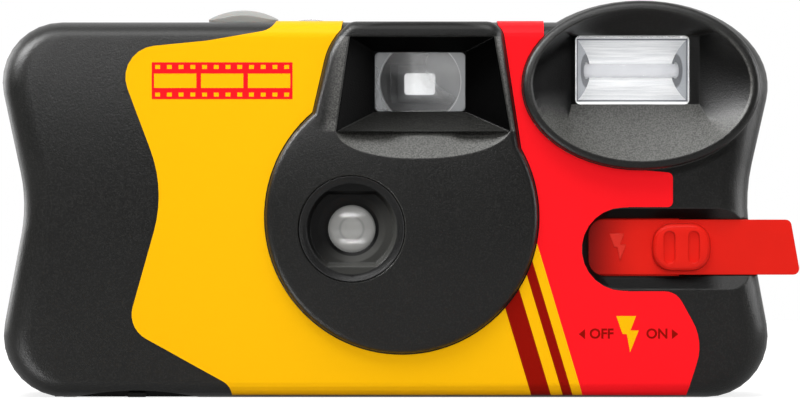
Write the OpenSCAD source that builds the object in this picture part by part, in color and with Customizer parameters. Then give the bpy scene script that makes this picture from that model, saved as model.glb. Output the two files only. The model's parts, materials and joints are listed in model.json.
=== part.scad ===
// Disposable 35 mm film camera with built-in flash, as an assembly of its pieces.
// Millimetres. X runs to the right seen from the front, the front faces -Y, Z is up.
// The origin is on the base, midway across the width and the depth.

/* [Body] */
// Width across the side bulges
body_w = 116; // [115:0.5:120]
// Height of the flat top above the base
body_h = 57.2; // [57:0.1:59]
// Depth from the flat front to the back
body_d = 31; // [31:0.5:35]
// Wall thickness of both covers
wall = 1.6; // [1.3:0.1:1.7]
// Rounding of the upper left corner
top_corner_r = 9.1; // [7:0.1:9.6]
// Rounding of the lower left corner
base_corner_r = 9.4; // [7:0.1:9.8]
// Rounding of the lower right corner
grip_corner_r = 9.4; // [7:0.1:9.8]
// How far each side draws in at its waist
waist_in = 3.4; // [2:0.2:3.6]
// Rounding of the waists
waist_r = 24; // [20:1:30]
// Front edge rounding across the sides
edge_side = 4.5; // [3:0.25:5]
// Front edge rounding across the top and the base
edge_top = 2.6; // [2:0.2:3]
// Front edge rounding along the depth
edge_depth = 4.2; // [3:0.2:5]
// Rear edge rounding across the sides
back_side = 3.2; // [2:0.2:3.4]
// Rear edge rounding across the top and the base
back_top = 2.0; // [1.4:0.2:2.2]
// Depth of the rear cover
back_cover_d = 11.5; // [10:0.5:12]
// Gap along the line where the covers meet
seam = 0.15; // [0.1:0.05:0.25]

/* [Lens panel] */
// Lens axis across the width
lens_x = -5.2; // [-5.8:0.2:-4.6]
// Lens axis above the base
lens_z = 25.7; // [25.3:0.1:26.1]
// Radius of the raised lens panel
panel_r = 20.8; // [20:0.2:21.4]
// Rise of the panel over the flat front
panel_rise = 2.5; // [2.2:0.1:3]
// Fall of the panel's dome from its middle to its edge
panel_sag = 0.7; // [0.3:0.1:0.9]
// Radius of the lens retainer
retainer_r = 8.0; // [7.8:0.1:8.4]
// Width of the opening in the retainer
opening_w = 12.6; // [12:0.2:13]
// Height of the opening in the retainer
opening_h = 10.4; // [9.8:0.2:11]
// Clear radius in front of the lens
lens_clear_r = 3.6; // [3.4:0.1:4.1]

/* [Viewfinder] */
// Middle of the viewfinder across the width
vf_x = 5.2; // [4.8:0.1:5.6]
// Middle of the viewfinder below the flat top
vf_drop = 9.1; // [8.9:0.1:9.3]
// Width of the viewfinder's front lens window
vf_w = 14; // [13:0.2:14.4]
// Height of the viewfinder's front lens window
vf_h = 9.2; // [8.6:0.2:9.4]
// Depth of the hood from the panel's front to the lens window
hood_depth = 6; // [5:0.25:6.25]
// Width of the eyepiece window in the back
eye_w = 7.4; // [7:0.2:9.4]
// Height of the eyepiece window in the back
eye_h = 5.2; // [5:0.2:6.6]

/* [Flash] */
// Middle of the flash turret across the width
turret_x = 38.8; // [38.4:0.1:39.2]
// Middle of the flash turret below the flat top
turret_drop = 9.7; // [9.5:0.1:9.9]
// Half width of the turret's rim
turret_a = 18.1; // [17.8:0.1:18.4]
// Half height of the turret's rim
turret_b = 12.8; // [12.6:0.1:13]
// Rise of the turret's rim over the flat front
turret_rise = 2.8; // [2.4:0.1:3.2]
// Width of the rounded rim round the bowl
rim_w = 1.2; // [1:0.1:1.6]
// Width of the flash window
window_w = 19.5; // [18.5:0.25:20]
// Height of the flash window
window_h = 10.5; // [10:0.25:10.75]
// Depth of the bowl from the rim to the window
bowl_depth = 4.9; // [4:0.1:5.4]

/* [Flash switch] */
// Middle of the slider strip above the base
slot_z = 22.9; // [22.4:0.1:23.2]
// Left end of the slot's outer edge
slot_x = 29.9; // [29.5:0.1:30.3]
// Half height of the slot at the front face
slot_r = 6.2; // [5.8:0.1:6.3]
// Width of the slot's sloped border above and below the strip
slot_border = 1.85; // [1.6:0.05:2]
// Travel of the slider
slider_travel = 8; // [7:0.25:8]
// Thickness of the slider strip
slider_t = 1.6; // [1.4:0.1:1.7]
// Width of the raised grip
grip_w = 8.8; // [8.6:0.2:9.4]
// Height of the raised grip
grip_h = 7.2; // [7:0.2:7.8]
// How far the tongue stands out of the body's side
tongue_out = 7.4; // [5:0.2:8]

/* [Shutter button] */
// Middle of the button across the width
button_x = -21.9; // [-22.3:0.1:-21.5]
// Width of the button
button_w = 10.6; // [10:0.2:11]
// Depth of the button, front to back
button_d = 8.4; // [7.6:0.2:9]
// Rise of the button's dome over the top
button_rise = 2; // [1.4:0.1:2.2]
// Travel of the button
button_travel = 1.2; // [0.8:0.1:1.2]

/* [Film] */
// Width of the film
film_w = 35; // [34.6:0.1:35.2]
// Width of the picture gate
gate_w = 36; // [35:0.25:36.25]
// Height of the picture gate
gate_h = 24; // [23:0.25:24.5]
// Diameter of the film cassette
cassette_d = 25; // [24.6:0.1:25.1]
// Height of the cassette's shell
cassette_h = 44; // [43.4:0.1:44.2]
// Radius of the film wound on the supply spool
roll_r = 8.3; // [7.4:0.1:8.5]
// Radius of the thumbwheel
wheel_r = 14.6; // [14.2:0.1:14.7]
// Thickness of the thumbwheel
wheel_t = 3.6; // [3:0.1:3.8]
// Number of ribs round the thumbwheel
wheel_ribs = 64; // [48:4:72]
// Number of sprocket teeth
sprocket_teeth = 8; // [8:1:8]
// Number of teeth on the counter dial
dial_teeth = 40; // [36:1:44]

/* [Battery and board] */
// Diameter of the cell
cell_d = 14.4; // [13.8:0.1:14.5]
// Length of the cell with its nub
cell_h = 50.3; // [49.6:0.1:50.5]
// Diameter of the flash capacitor
cap_d = 10.6; // [9.6:0.2:11]
// Length of the flash capacitor
cap_l = 21; // [18:0.5:21.5]
// Thickness of the circuit board
board_t = 1.2; // [1:0.1:1.6]

/* [Fits] */
// Clearance of parts that sit still
fit = 0.15; // [0.1:0.01:0.2]
// Clearance of bearings on their pins
run = 0.05; // [0.03:0.01:0.08]
// Thickness of the label
label_t = 0.18; // [0.12:0.02:0.24]
// Gap between the label and the cover under it
glue = 0.03; // [0.02:0.01:0.05]

/* [Hidden] */

black = [0.16, 0.16, 0.15];
dark = [0.09, 0.09, 0.09];
yellow = [1.0, 0.77, 0.05];
red = [0.9, 0.13, 0.1];
clear = [0.8, 0.84, 0.86, 0.6];
milk = [0.78, 0.78, 0.75];
steel = [0.72, 0.72, 0.72];
brass = [0.8, 0.66, 0.3];
white = [0.9, 0.9, 0.88];
green = [0.16, 0.42, 0.24];
copper = [0.72, 0.42, 0.22];
amber = [1.0, 0.5, 0.1];
brown = [0.28, 0.18, 0.12];

eps = 0.01;
over = 1;
half_w = body_w / 2;
front_y = -body_d / 2;
back_y = body_d / 2;
front_in = front_y + wall;
back_in = back_y - wall;
split_y = back_y - back_cover_d;
top_in = body_h - wall;
vf_z = body_h - vf_drop;
turret_z = body_h - turret_drop;
panel_x = lens_x + 7.6;
panel_z = lens_z + 1.8;
panel_y = front_y - panel_rise;
turret_y = front_y - turret_rise;
waist_left_z = 29.6;
waist_right_z = 30.1;

// Film path
film_y = back_in - 1.4;
film_t = 0.14;
cas_r = cassette_d / 2;
cas_x = lens_x - 32.8;
cas_y = back_in - cas_r - 0.2;
cas_z0 = lens_z - cassette_h / 2;
cas_z1 = lens_z + cassette_h / 2;
chamber_gap = 0.3;
chamber_t = 0.9;
chamber_r = cas_r + chamber_gap + chamber_t;
roll_x = lens_x + 31.2;
roll_y = film_y - roll_r - 0.1;
roll_chamber_r = 9.9;
gate_x0 = lens_x - gate_w / 2;
gate_x1 = lens_x + gate_w / 2;
gate_y = film_y - 0.15;
gate_t = 1.3;
film_z0 = lens_z - film_w / 2;
film_z1 = lens_z + film_w / 2;
front_wall_y = front_y + 3.8;
front_wall_t = 1.2;

// Winding deck, in levels hung from the inside of the top
wheel_head = 2.7;
wheel_z = top_in - wheel_head - wheel_t;
disc_z = wheel_z - 0.2;
deck_drop = 5.1;
deck_z0 = wheel_z - deck_drop;
deck_t = 1;
deck_z = deck_z0 + deck_t;
hub_r = 5;
spool_r = 5.7;
core_bore_r = 3;
spr_x = lens_x - 11.8;
spr_pitch_r = 6.05;
spr_tip_r = spr_pitch_r - 0.35;
spr_y = film_y - spr_pitch_r;
spr_z = film_z1 - 4.2;
spr_t = 2.2;
shaft_r = 1.5;
dial_x = lens_x - 6.3;
dial_y = spr_y - 8.0;
dial_r = 7.9;
dial_z = wheel_z + wheel_t - 1.5;
dial_t = 1.6;
post_r = 1.5;
pin_r = 0.8;
lever_z = deck_z + 0.2;
lever_t = 1.1;
meter_x = lens_x - 14.3;
meter_y = dial_y - 0.4;
meter_z = wheel_z + 0.2;
meter_t = 1.3;
cam_r = 3.6;
button_y = front_y + 10.3;
counter_r = 3.1;
counter_x = dial_x;
counter_y = dial_y - 4.4;

// Shutter
pivot_x = lens_x - 5;
pivot_z = lens_z + 11.8;
blade_t = 0.3;
blade_y = front_wall_y - 0.6;
plate_y = front_y + 2.0;
plate_t = 0.7;
aperture_r = 1.8;
tab_top = lever_z + lever_t - pivot_z;

// Lens stack
retainer_y = panel_y + 0.55;
lens_seat_y = plate_y - eps * 4;
lens_rim_r = lens_clear_r + 0.7;
lens_edge_t = 1.1;

// Viewfinder
vf_y = panel_y + hood_depth;
vf_out_w = vf_w + 2.4;
vf_out_h = vf_h + 2.4;
vf_lens_t = 1.5;
hood_top_z = body_h;
ready_x = roll_x - 6.5;
ready_r = 1.6;
ready_flange_r = 2.4;
ready_in = 4;

// Flash
window_x = turret_x - 0.8;
window_z = turret_z + 2.4;
bowl_y = turret_y + bowl_depth;
tub_t = 1.2;
frame_left = 0.6;
frame_right = 1.5;
pane_w = window_w - frame_left - frame_right;
pane_x = window_x + (frame_left - frame_right) / 2;
reflector_d = 6.2;
reflector_h = window_h - 0.8;
reflector_l = pane_w - 0.4;
reflector_t = 0.4;
reflector_slant = 2.3;
housing_y = bowl_y + tub_t + 0.3;
housing_t = 0.8;
housing_x0 = pane_x - reflector_l / 2 - reflector_t - fit;
housing_x1 = pane_x + reflector_l / 2 + reflector_t + fit;
housing_z0 = window_z - reflector_h / 2 - reflector_t - fit;
housing_z1 = window_z + reflector_h / 2 + reflector_t + fit;
housing_back = housing_y + reflector_d + reflector_t + fit;
tube_r = 1.1;
tube_y = housing_y + reflector_d - tube_r - 0.6;

// Flash switch
strip_y = front_in - 0.1;
lip_y = strip_y - 0.3;
channel_y = strip_y + slider_t + 0.2;
slot_block_t = 1.4;
inner_r = slot_r - slot_border;
slot_in_x = slot_x + slot_border / 2;
slot_rim_z = slot_z - 0.3;
slot_corner_r = 2.5;
strip_r = inner_r - 0.15;
flange_r = inner_r + 1;
grip_x = slot_in_x + 1.7 + slider_travel;
tail_x = slot_in_x - 1.2;
pocket_x = tail_x - slider_travel - 0.5;
flange_x = grip_x + grip_w / 2 - 0.3;
side_x = half_w - waist_in + 0.2;

// Battery and board
cell_r = cell_d / 2;
cell_x = side_x - wall - cell_r - 0.9;
cell_y = back_in - cell_r - 0.9;
cell_z0 = wall + 2.0;
cradle_x = cell_x - cell_r - 1.5;
cradle_x1 = cell_x + cell_r - 2.6;
cradle_y1 = back_in - 3.2;
cradle_top = cell_z0 + cell_h + 1.3;
leaf_z = cell_z0 + cell_h + 0.05;
leaf_t = 0.45;
board_y = roll_y - roll_chamber_r - 1.9;
cap_r = cap_d / 2;
cap_x0 = roll_x + 6.6;
cap_y = board_y - 0.4;
cap_z = wall + cap_r + 2.4;

// Cassette door
door_x0 = cas_x - cas_r - 0.1;
door_x1 = cas_x + cas_r + 0.1;
door_y0 = cas_y - cas_r + 0.2;
door_y1 = back_in - 0.9;
hinge_y = back_in - 0.45;
hinge_z = 0.5;
hinge_r = 0.42;

// Vector and outline helpers
function unit(v) = v / norm(v);
function wrap(a) = a > 180 ? a - 360 : a < -180 ? a + 360 : a;

// Tangent arc that rounds corner b between its neighbours a and c
function corner_arc(a, b, c, r, steps) =
  let (
    u = unit(a - b),
    v = unit(c - b),
    half = acos(u * v) / 2,
    centre = b + unit(u + v) * (r / sin(half)),
    p = b + u * (r / tan(half)) - centre,
    q = b + v * (r / tan(half)) - centre,
    t0 = atan2(p.y, p.x),
    sweep = wrap(atan2(q.y, q.x) - t0)
  )
  [for (i = [0:steps]) centre + r * [cos(t0 + sweep * i / steps), sin(t0 + sweep * i / steps)]];

function flat2(p) = [p.x, p.y];

// Closed outline through corners [x, z, r], or [x, z, r, steps], rounded where r is above zero
function rounded(c) =
  let (n = len(c))
  [for (i = [0:n - 1])
    each (c[i][2] > 0
      ? corner_arc(flat2(c[(i + n - 1) % n]), flat2(c[i]), flat2(c[(i + 1) % n]), c[i][2],
          len(c[i]) > 3 ? c[i][3] : 6)
      : [flat2(c[i])])];

// Outward normal at each point of an outline that runs anticlockwise
function normals(p) =
  let (n = len(p))
  [for (i = [0:n - 1])
    let (d = unit(unit(p[(i + 1) % n] - p[i]) + unit(p[i] - p[(i + n - 1) % n])))
    [d.y, -d.x]];

function ellipse(x, z, a, b, steps) =
  [for (i = [0:steps - 1]) [x + a * cos(360 * i / steps), z + b * sin(360 * i / steps)]];

// Ring of an outline at depth y, drawn in by d all round and by sx and sz across and upwards
function ring(p, nrm, y, d, sx, sz) =
  [for (i = [0:len(p) - 1])
    [p[i].x - nrm[i].x * (d + sx), y, p[i].y - nrm[i].y * (d + sz)]];

// Solid through rings listed from the back to the front, each anticlockwise seen from the front
module loft(rings) {
  n = len(rings[0]);
  m = len(rings);
  pts = [for (r = rings) each r];
  mid_a = [for (k = [0:2]) [for (p = rings[0]) p[k]] * [for (p = rings[0]) 1] / n];
  mid_b = [for (k = [0:2]) [for (p = rings[m - 1]) p[k]] * [for (p = rings[0]) 1] / n];
  sides = [for (j = [0:m - 2], i = [0:n - 1])
    let (
      a0 = j * n + i,
      a1 = j * n + (i + 1) % n,
      b0 = a0 + n,
      b1 = a1 + n
    )
    each [[b1, a1, a0], [b1, a0, b0]]];
  cap_a = [for (i = [0:n - 1]) [n * m, i, (i + 1) % n]];
  cap_b = [for (i = [0:n - 1]) [n * m + 1, (m - 1) * n + (i + 1) % n, (m - 1) * n + i]];
  polyhedron(concat(pts, [mid_a, mid_b]), concat(sides, cap_a, cap_b));
}

// Prism of a front outline from y0 back to y1
module front_prism(p, y0, y1) {
  translate([0, y1, 0])
    rotate([90, 0, 0])
      linear_extrude(y1 - y0)
        polygon(p);
}

module box(x0, x1, y0, y1, z0, z1) {
  translate([x0, y0, z0])
    cube([x1 - x0, y1 - y0, z1 - z0]);
}

// Cylinder along Z, given by its ends
module pin(x, y, z0, z1, r, fn = 40) {
  translate([x, y, z0])
    cylinder(r = r, h = z1 - z0, $fn = fn);
}

// Cylinder along Y, given by its ends
module bore(x, z, y0, y1, r, fn = 48) {
  translate([x, y1, z])
    rotate([90, 0, 0])
      cylinder(r = r, h = y1 - y0, $fn = fn);
}

// Cylinder along X, given by its ends
module rod(y, z, x0, x1, r, fn = 40) {
  translate([x0, y, z])
    rotate([0, 90, 0])
      cylinder(r = r, h = x1 - x0, $fn = fn);
}

// Wire wound about Z
module coil(x, y, z0, z1, r, wire, turns, per = 10) {
  n = turns * per;
  sides = 5;
  loft_turn = [for (i = [0:n])
    let (
      a = 360 * i / per,
      z = z0 + wire + (z1 - z0 - 2 * wire) * i / n
    )
    [for (k = [0:sides - 1])
      let (
        b = 360 * k / sides,
        q = r + wire * cos(b)
      )
      [x + q * cos(a), y + q * sin(a), z + wire * sin(b)]]];
  loft(loft_turn);
}

// Front silhouette of the camera
silhouette_a = turret_a + 1.3;
silhouette_b = turret_b + 0.35;
junction = 180 - asin((body_h - turret_z + 0.1) / silhouette_b);
flash_start = -8.7;
flash_steps = 24;
corner_out = 2.3;
function flash_edge() =
  [for (i = [0:flash_steps])
    let (a = flash_start + (junction - flash_start) * i / flash_steps)
    [turret_x + 0.1 + silhouette_a * cos(a), turret_z - 0.1 + silhouette_b * sin(a), 0]];
outline = rounded(concat(
  [
    [-half_w - corner_out, 0, base_corner_r, 9],
    [half_w + corner_out - 0.1, 0, grip_corner_r, 9],
    [half_w - waist_in, waist_right_z, waist_r + 4, 5]
  ],
  flash_edge(),
  [
    [-half_w - corner_out - 0.4, body_h, top_corner_r, 9],
    [-half_w + waist_in - 0.2, waist_left_z, waist_r, 6]
  ]));
outline_n = normals(outline);
edge_steps = 6;

// Front half of the outer form, drawn in by d, from depth y_back
module front_form(d, y_back) {
  y0 = front_y + d;
  loft(concat(
    [ring(outline, outline_n, y_back, d, 0, 0)],
    [for (i = [0:edge_steps])
      let (t = 90 * i / edge_steps)
      ring(outline, outline_n, y0 + edge_depth * (1 - sin(t)), d,
        edge_side * (1 - cos(t)), edge_top * (1 - cos(t)))]));
}

// Rear half of the outer form, drawn in by d, to depth y_front
module back_form(d, y_front, steps = 5) {
  y0 = back_y - d;
  depth = 3;
  loft(concat(
    [for (i = [0:steps])
      let (t = 90 - 90 * i / steps)
      ring(outline, outline_n, y0 - depth * (1 - sin(t)), d,
        back_side * (1 - cos(t)), back_top * (1 - cos(t)))],
    [ring(outline, outline_n, y_front, d, 0, 0)]));
}

// Rectangle with its corners rounded, as a front outline
function plate2(x, z, w, h, r, steps = 5) = rounded([
  [x - w / 2, z - h / 2, r, steps],
  [x + w / 2, z - h / 2, r, steps],
  [x + w / 2, z + h / 2, r, steps],
  [x - w / 2, z + h / 2, r, steps]
]);

// Foot of the viewfinder hood on the flat front, with a wide shoulder on its left
hood_low = lens_z + 11.5;
hood_foot = rounded([
  [vf_x - 17.75, hood_low, 0],
  [vf_x + 15.4, hood_low, 0],
  [vf_x + 12.3, hood_top_z, 2.6, 6],
  [vf_x - 10.5, hood_top_z, 2.2, 4],
  [vf_x - 13.7, hood_top_z - 2.7, 10, 6]
]);
hood_n = normals(hood_foot);

// Opening of the hood down to its lip, and the lens window at its end
sill_z = vf_z - 7.6;
brow_z = vf_z + 6.8;
lip_depth = 2.8;
hood_lip_y = panel_y + lip_depth;
hood_open = [
  [vf_x - 12.8, sill_z],
  [vf_x + 13.7, sill_z],
  [vf_x + 11.2, brow_z],
  [vf_x - 10.7, brow_z]
];
hood_end = [
  [vf_x - vf_w / 2, vf_z - vf_h / 2],
  [vf_x + vf_w / 2, vf_z - vf_h / 2],
  [vf_x + vf_w / 2, vf_z + vf_h / 2],
  [vf_x - vf_w / 2, vf_z + vf_h / 2]
];
function at_y(p, y) = [for (q = p) [q.x, y, q.y]];
function between(p, q, t) = [for (i = [0:len(p) - 1]) p[i] + (q[i] - p[i]) * t];
function grown(p, c, d) = [for (q = p) q + [sign(q.x - c.x) * d, sign(q.y - c.y) * d]];
vf_mid = [vf_x, vf_z];

// The hood's face leans back towards its foot, where the panel's dome takes over
hood_lean = 0.035;
hood_roll = 1.7;
function hood_ring(inset, sink) =
  [for (p = ring(hood_foot, hood_n, panel_y + 0.1 + sink, inset, 0, 0))
    p + [0, hood_lean * (hood_top_z - p.z), 0]];
module hood_block() {
  steps = 5;
  loft(concat(
    [ring(hood_foot, hood_n, front_y + edge_depth, 0, 0, 0)],
    [for (i = [0:steps])
      let (t = 90 * i / steps)
      hood_ring(hood_roll * (1 - cos(t)), hood_roll * (1 - sin(t)))]));
}

module hood_recess() {
  loft([at_y(hood_end, vf_y), at_y(hood_open, hood_lip_y)]);
  front_prism(hood_open, panel_y - over, hood_lip_y + eps);
  box(vf_x - vf_w / 2, vf_x + vf_w / 2, vf_y - eps, vf_y + 3, vf_z - vf_h / 2, vf_z + vf_h / 2);
}

module hood_tub() {
  t = 0.25;
  loft([at_y(grown(hood_end, vf_mid, tub_t), vf_y + 1),
    at_y(grown(between(hood_open, hood_end, t), vf_mid, tub_t), hood_lip_y + (vf_y - hood_lip_y) * t)]);
}

// Full arch over -1 to 1, one high in its middle
arch_power = 2.25;
function arch(s) = pow(max(0, 1 - pow(abs(s), arch_power)), 1 / arch_power);

// Scoop of one slope from an arch on the hood's face in to the straight edge between a and b of the
// opening, below the edge where side is -1 and above it where side is 1
scoop_steps = 24;
face_drop = 0.3;
module scoop(a, b, side, rise, depth) {
  face_y = panel_y + face_drop;
  front_y0 = panel_y - over;
  ahead = face_y - front_y0;
  slope = rise / (depth - face_drop);
  edge = [for (i = [0:scoop_steps]) side * cos(180 * i / scoop_steps)];
  inside = [for (p = side < 0 ? [b, a] : [a, b]) p - [0, side * 0.2]];
  function along(s) = (a + b) / 2 + [s * (b.x - a.x) / 2, 0];
  loft([
    concat([for (s = edge) [along(s).x, face_y + rise * arch(s) / slope, a.y + side * eps]],
      at_y(inside, face_y)),
    at_y(concat([for (s = edge) along(s) + [0, side * (rise * arch(s) + ahead * slope)]], inside), front_y0)
  ]);
}

// Flat lens panel with a low dome and a rounded shoulder
module lens_panel() {
  shoulder = 0.9;
  top = panel_rise - panel_sag;
  profile = concat(
    [[0, -1], [panel_r, -1], [panel_r - 0.1, top - shoulder]],
    [for (i = [1:4])
      let (t = 90 * i / 4)
      [panel_r - 0.1 - shoulder * (1 - cos(t)), top - shoulder * (1 - sin(t))]],
    [for (i = [1:6])
      let (q = 1 - i / 6)
      [(panel_r - 0.1 - shoulder) * q, panel_rise - panel_sag * q * q]]);
  translate([panel_x, front_y, panel_z])
    rotate([90, 0, 0])
      rotate_extrude($fn = 120)
        polygon(profile);
}

// Raised turret round the flash, rolled over at its rim
turret = ellipse(turret_x, turret_z, turret_a, turret_b, 56);
turret_n = normals(turret);
bowl_a = turret_a - rim_w;
bowl_b = turret_b - rim_w;
module turret_block() {
  roll = rim_w * 0.75;
  loft(concat(
    [ring(turret, turret_n, front_y + edge_depth + 2, 0, 0, 0)],
    [for (i = [0:4])
      let (t = 90 * i / 4)
      ring(turret, turret_n, turret_y + roll * (1 - sin(t)), roll * (1 - cos(t)), 0, 0)]));
}

// The bowl runs from the oval rim to the square-cornered window
bowl_n = 56;
function window_point(a, w, h) =
  let (
    c = cos(a),
    s = sin(a),
    k = min(w / 2 / max(abs(c), eps), h / 2 / max(abs(s), eps))
  )
  [window_x + k * c, window_z + k * s];
function bowl_ring(y, t, d) =
  [for (i = [0:bowl_n - 1])
    let (
      a = 360 * i / bowl_n,
      p = [turret_x + (bowl_a + d) * cos(a), turret_z + (bowl_b + d) * sin(a)],
      q = window_point(atan2(sin(a) * window_h, cos(a) * window_w), window_w + 2 * d, window_h + 2 * d),
      r = p + (q - p) * t
    )
    [r.x, y, r.y]];
module bowl(d, y0, y1) {
  steps = 4;
  loft([for (i = [0:steps])
    let (u = i / steps)
    bowl_ring(y0 + (y1 - y0) * u, 1 - 0.6 * u - 0.4 * sin(90 * u), d)]);
}

// Outline of the slot, open to the right, with its middle at z, half height r and left corners of radius c
function slot_pill(x, z, r, c) = concat(
  [[half_w + 8, z - r], [half_w + 8, z + r]],
  [for (side = [1, -1], i = [0:6])
    let (t = side > 0 ? 90 + 14 * i : 186 + 14 * i)
    [x + c + c * cos(t), z + side * (r - c) + c * sin(t)]]);
function slot_rim(d) = slot_pill(slot_x - d, slot_rim_z, slot_r + d, slot_r + d);
module slot_cut() {
  y0 = front_y - 0.2;
  slope = slot_border / (lip_y - front_y);
  loft([at_y(slot_pill(slot_in_x, slot_z, inner_r, slot_corner_r), lip_y + eps),
    at_y(slot_rim(0.2 * slope), y0)]);
}

// Pocket that the strip runs in, with the open end on the right
module slot_pocket() {
  box(pocket_x, flange_x + 1, lip_y, channel_y, slot_z - flange_r - 0.2, slot_z + flange_r + 0.2);
  box(pocket_x, half_w + 8, lip_y, channel_y, slot_z - inner_r, slot_z + inner_r);
}

module slot_block() {
  box(pocket_x - 1.2, side_x - 0.6, front_y + 0.6, channel_y + 1.1, slot_z - flange_r - slot_block_t,
    slot_z + flange_r + slot_block_t);
}

module door_opening(gap) {
  box(door_x0 - gap, door_x1 + gap, door_y0 - gap, hinge_y + hinge_r + gap, -1, wall + 0.4);
}

// Shallow arch in the lower front edge, round the door's tab
arch_r = 41;
arch_h = 1.1;
module door_arch() {
  bore(cas_x, arch_h - arch_r, front_y - 1, door_y0 + 0.5, arch_r, 180);
}

module front_cover() {
  color(black)
  difference() {
    union() {
      difference() {
        union() {
          front_form(0, split_y - seam / 2);
          turret_block();
          hood_block();
        }
        front_form(wall, split_y + over);
        // Inside of the turret behind the bowl
        front_prism(ellipse(turret_x, turret_z, turret_a - 1.5, turret_b - 1.5, 40), turret_y + 1.4,
          front_in + edge_depth);
      }
      lens_panel();
      intersection() {
        front_form(0.3, split_y);
        slot_block();
      }
      hood_tub();
      bowl(tub_t, bowl_y + tub_t, turret_y + 1.0);
    }
    bore(lens_x, lens_z, panel_y - 1, front_in + 0.7, retainer_r + fit, 72);
    hood_recess();
    scoop(hood_open[0], hood_open[1], -1, 3.9, lip_depth);
    scoop(hood_open[3], hood_open[2], 1, 1.75, 1.6);
    bowl(0, bowl_y, turret_y - eps * 4);
    front_prism(pane_outline(0), bowl_y - eps, bowl_y + 3);
    slot_cut();
    slot_pocket();
    door_opening(0.2);
    door_arch();
    button_shape(0.2, body_h - 6, body_h + 4);
    pin(counter_x, counter_y, top_in - 1, body_h + 1, counter_r + fit, 48);
  }
}

// Thumb scoop in the back, round the thumbwheel
module thumb_scoop() {
  r = 19;
  translate([cas_x, back_y + r - 1, wheel_z + wheel_t / 2 - 1])
    sphere(r = r, $fn = 72);
}

module rear_cover() {
  color(black)
  difference() {
    union() {
      difference() {
        back_form(0, split_y + seam / 2);
        back_form(wall, split_y - over, 3);
      }
      // Boss round the eyepiece
      box(vf_x - eye_w / 2 - 1.6, vf_x + eye_w / 2 + 1.6, back_in - 0.3, back_in + 0.5, vf_z - eye_h / 2 - 1.6,
        vf_z + eye_h / 2 + 1.6);
    }
    thumb_scoop();
    box(cas_x - 8.6, cas_x + 8.6, back_in - 2, back_y + 1, wheel_z - 0.45, wheel_z + wheel_t + 0.45);
    // Sunk surround of the eyepiece and its window
    front_prism(plate2(vf_x, vf_z, eye_w + 3.6, eye_h + 3.2, 1.4), back_y - 0.7, back_y + 1);
    front_prism(plate2(vf_x, vf_z, eye_w, eye_h, 0.8), back_in - 2, back_y);
    bore(ready_x, vf_z, back_in - 2, back_y + 1, ready_r + fit, 32);
    door_opening(0.2);
  }
}

// Outline of the printed label on the front
label_low = slot_rim_z - slot_r - fit - 0.05;
label_high = slot_rim_z + slot_r + fit + 0.05;
label_outline = rounded([
  [lens_x - 17.6, -3, 0],
  [lens_x + 49.8, -3, 0],
  [lens_x + 53.5, 8.6, 8, 6],
  [lens_x + 49.3, label_low, 3, 5],
  [lens_x + 42, label_low, 0],
  [lens_x + 42, label_high, 0],
  [lens_x + 48.8, label_high, 0.8, 4],
  [lens_x + 48.8, label_high + 5.2, 0.8, 4],
  [lens_x + 41, label_high + 5.9, 0],
  [lens_x + 29.2, body_h - 7, 0],
  [lens_x + 29.2, body_h + 4, 0],
  [lens_x - 10.2, body_h + 4, 0],
  [lens_x - 11.9, body_h - 1.15, 3, 5],
  [lens_x - 22.0, body_h - 2.9, 20, 4],
  [lens_x - 36.3, body_h - 4.3, 4.8, 7],
  [lens_x - 28.3, 31.6, 20, 7],
  [lens_x - 34.2, 10.6, 4.2, 7],
  [lens_x - 18.5, 1.9, 2.6, 5]
]);

module front_label() {
  back = split_y - 2;
  low = 0.35;
  color(yellow)
  difference() {
    intersection() {
      front_form(-glue - label_t, split_y);
      front_prism(label_outline, front_y - 3, back);
    }
    front_form(-glue, split_y + over);
    box(-half_w, half_w, front_y - 4, back_y, -3, low);
    bore(panel_x, panel_z, front_y - 3, front_y + 3, panel_r + fit, 120);
    front_prism([for (p = ring(hood_foot, hood_n, 0, -fit, 0, 0)) [p.x, p.z > body_h - 0.5 ? p.z + 3 : p.z]],
      front_y - 3, split_y);
    front_prism(ellipse(turret_x, turret_z, turret_a + fit, turret_b + fit, 56), front_y - 3, split_y);
    front_prism(slot_rim(fit), front_y - 3, front_y + 6);
    pin(counter_x, counter_y, body_h - 2, body_h + 2, counter_r + 0.7, 48);
    button_shape(0.7, body_h - 1, body_h + 2);
  }
}

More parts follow.
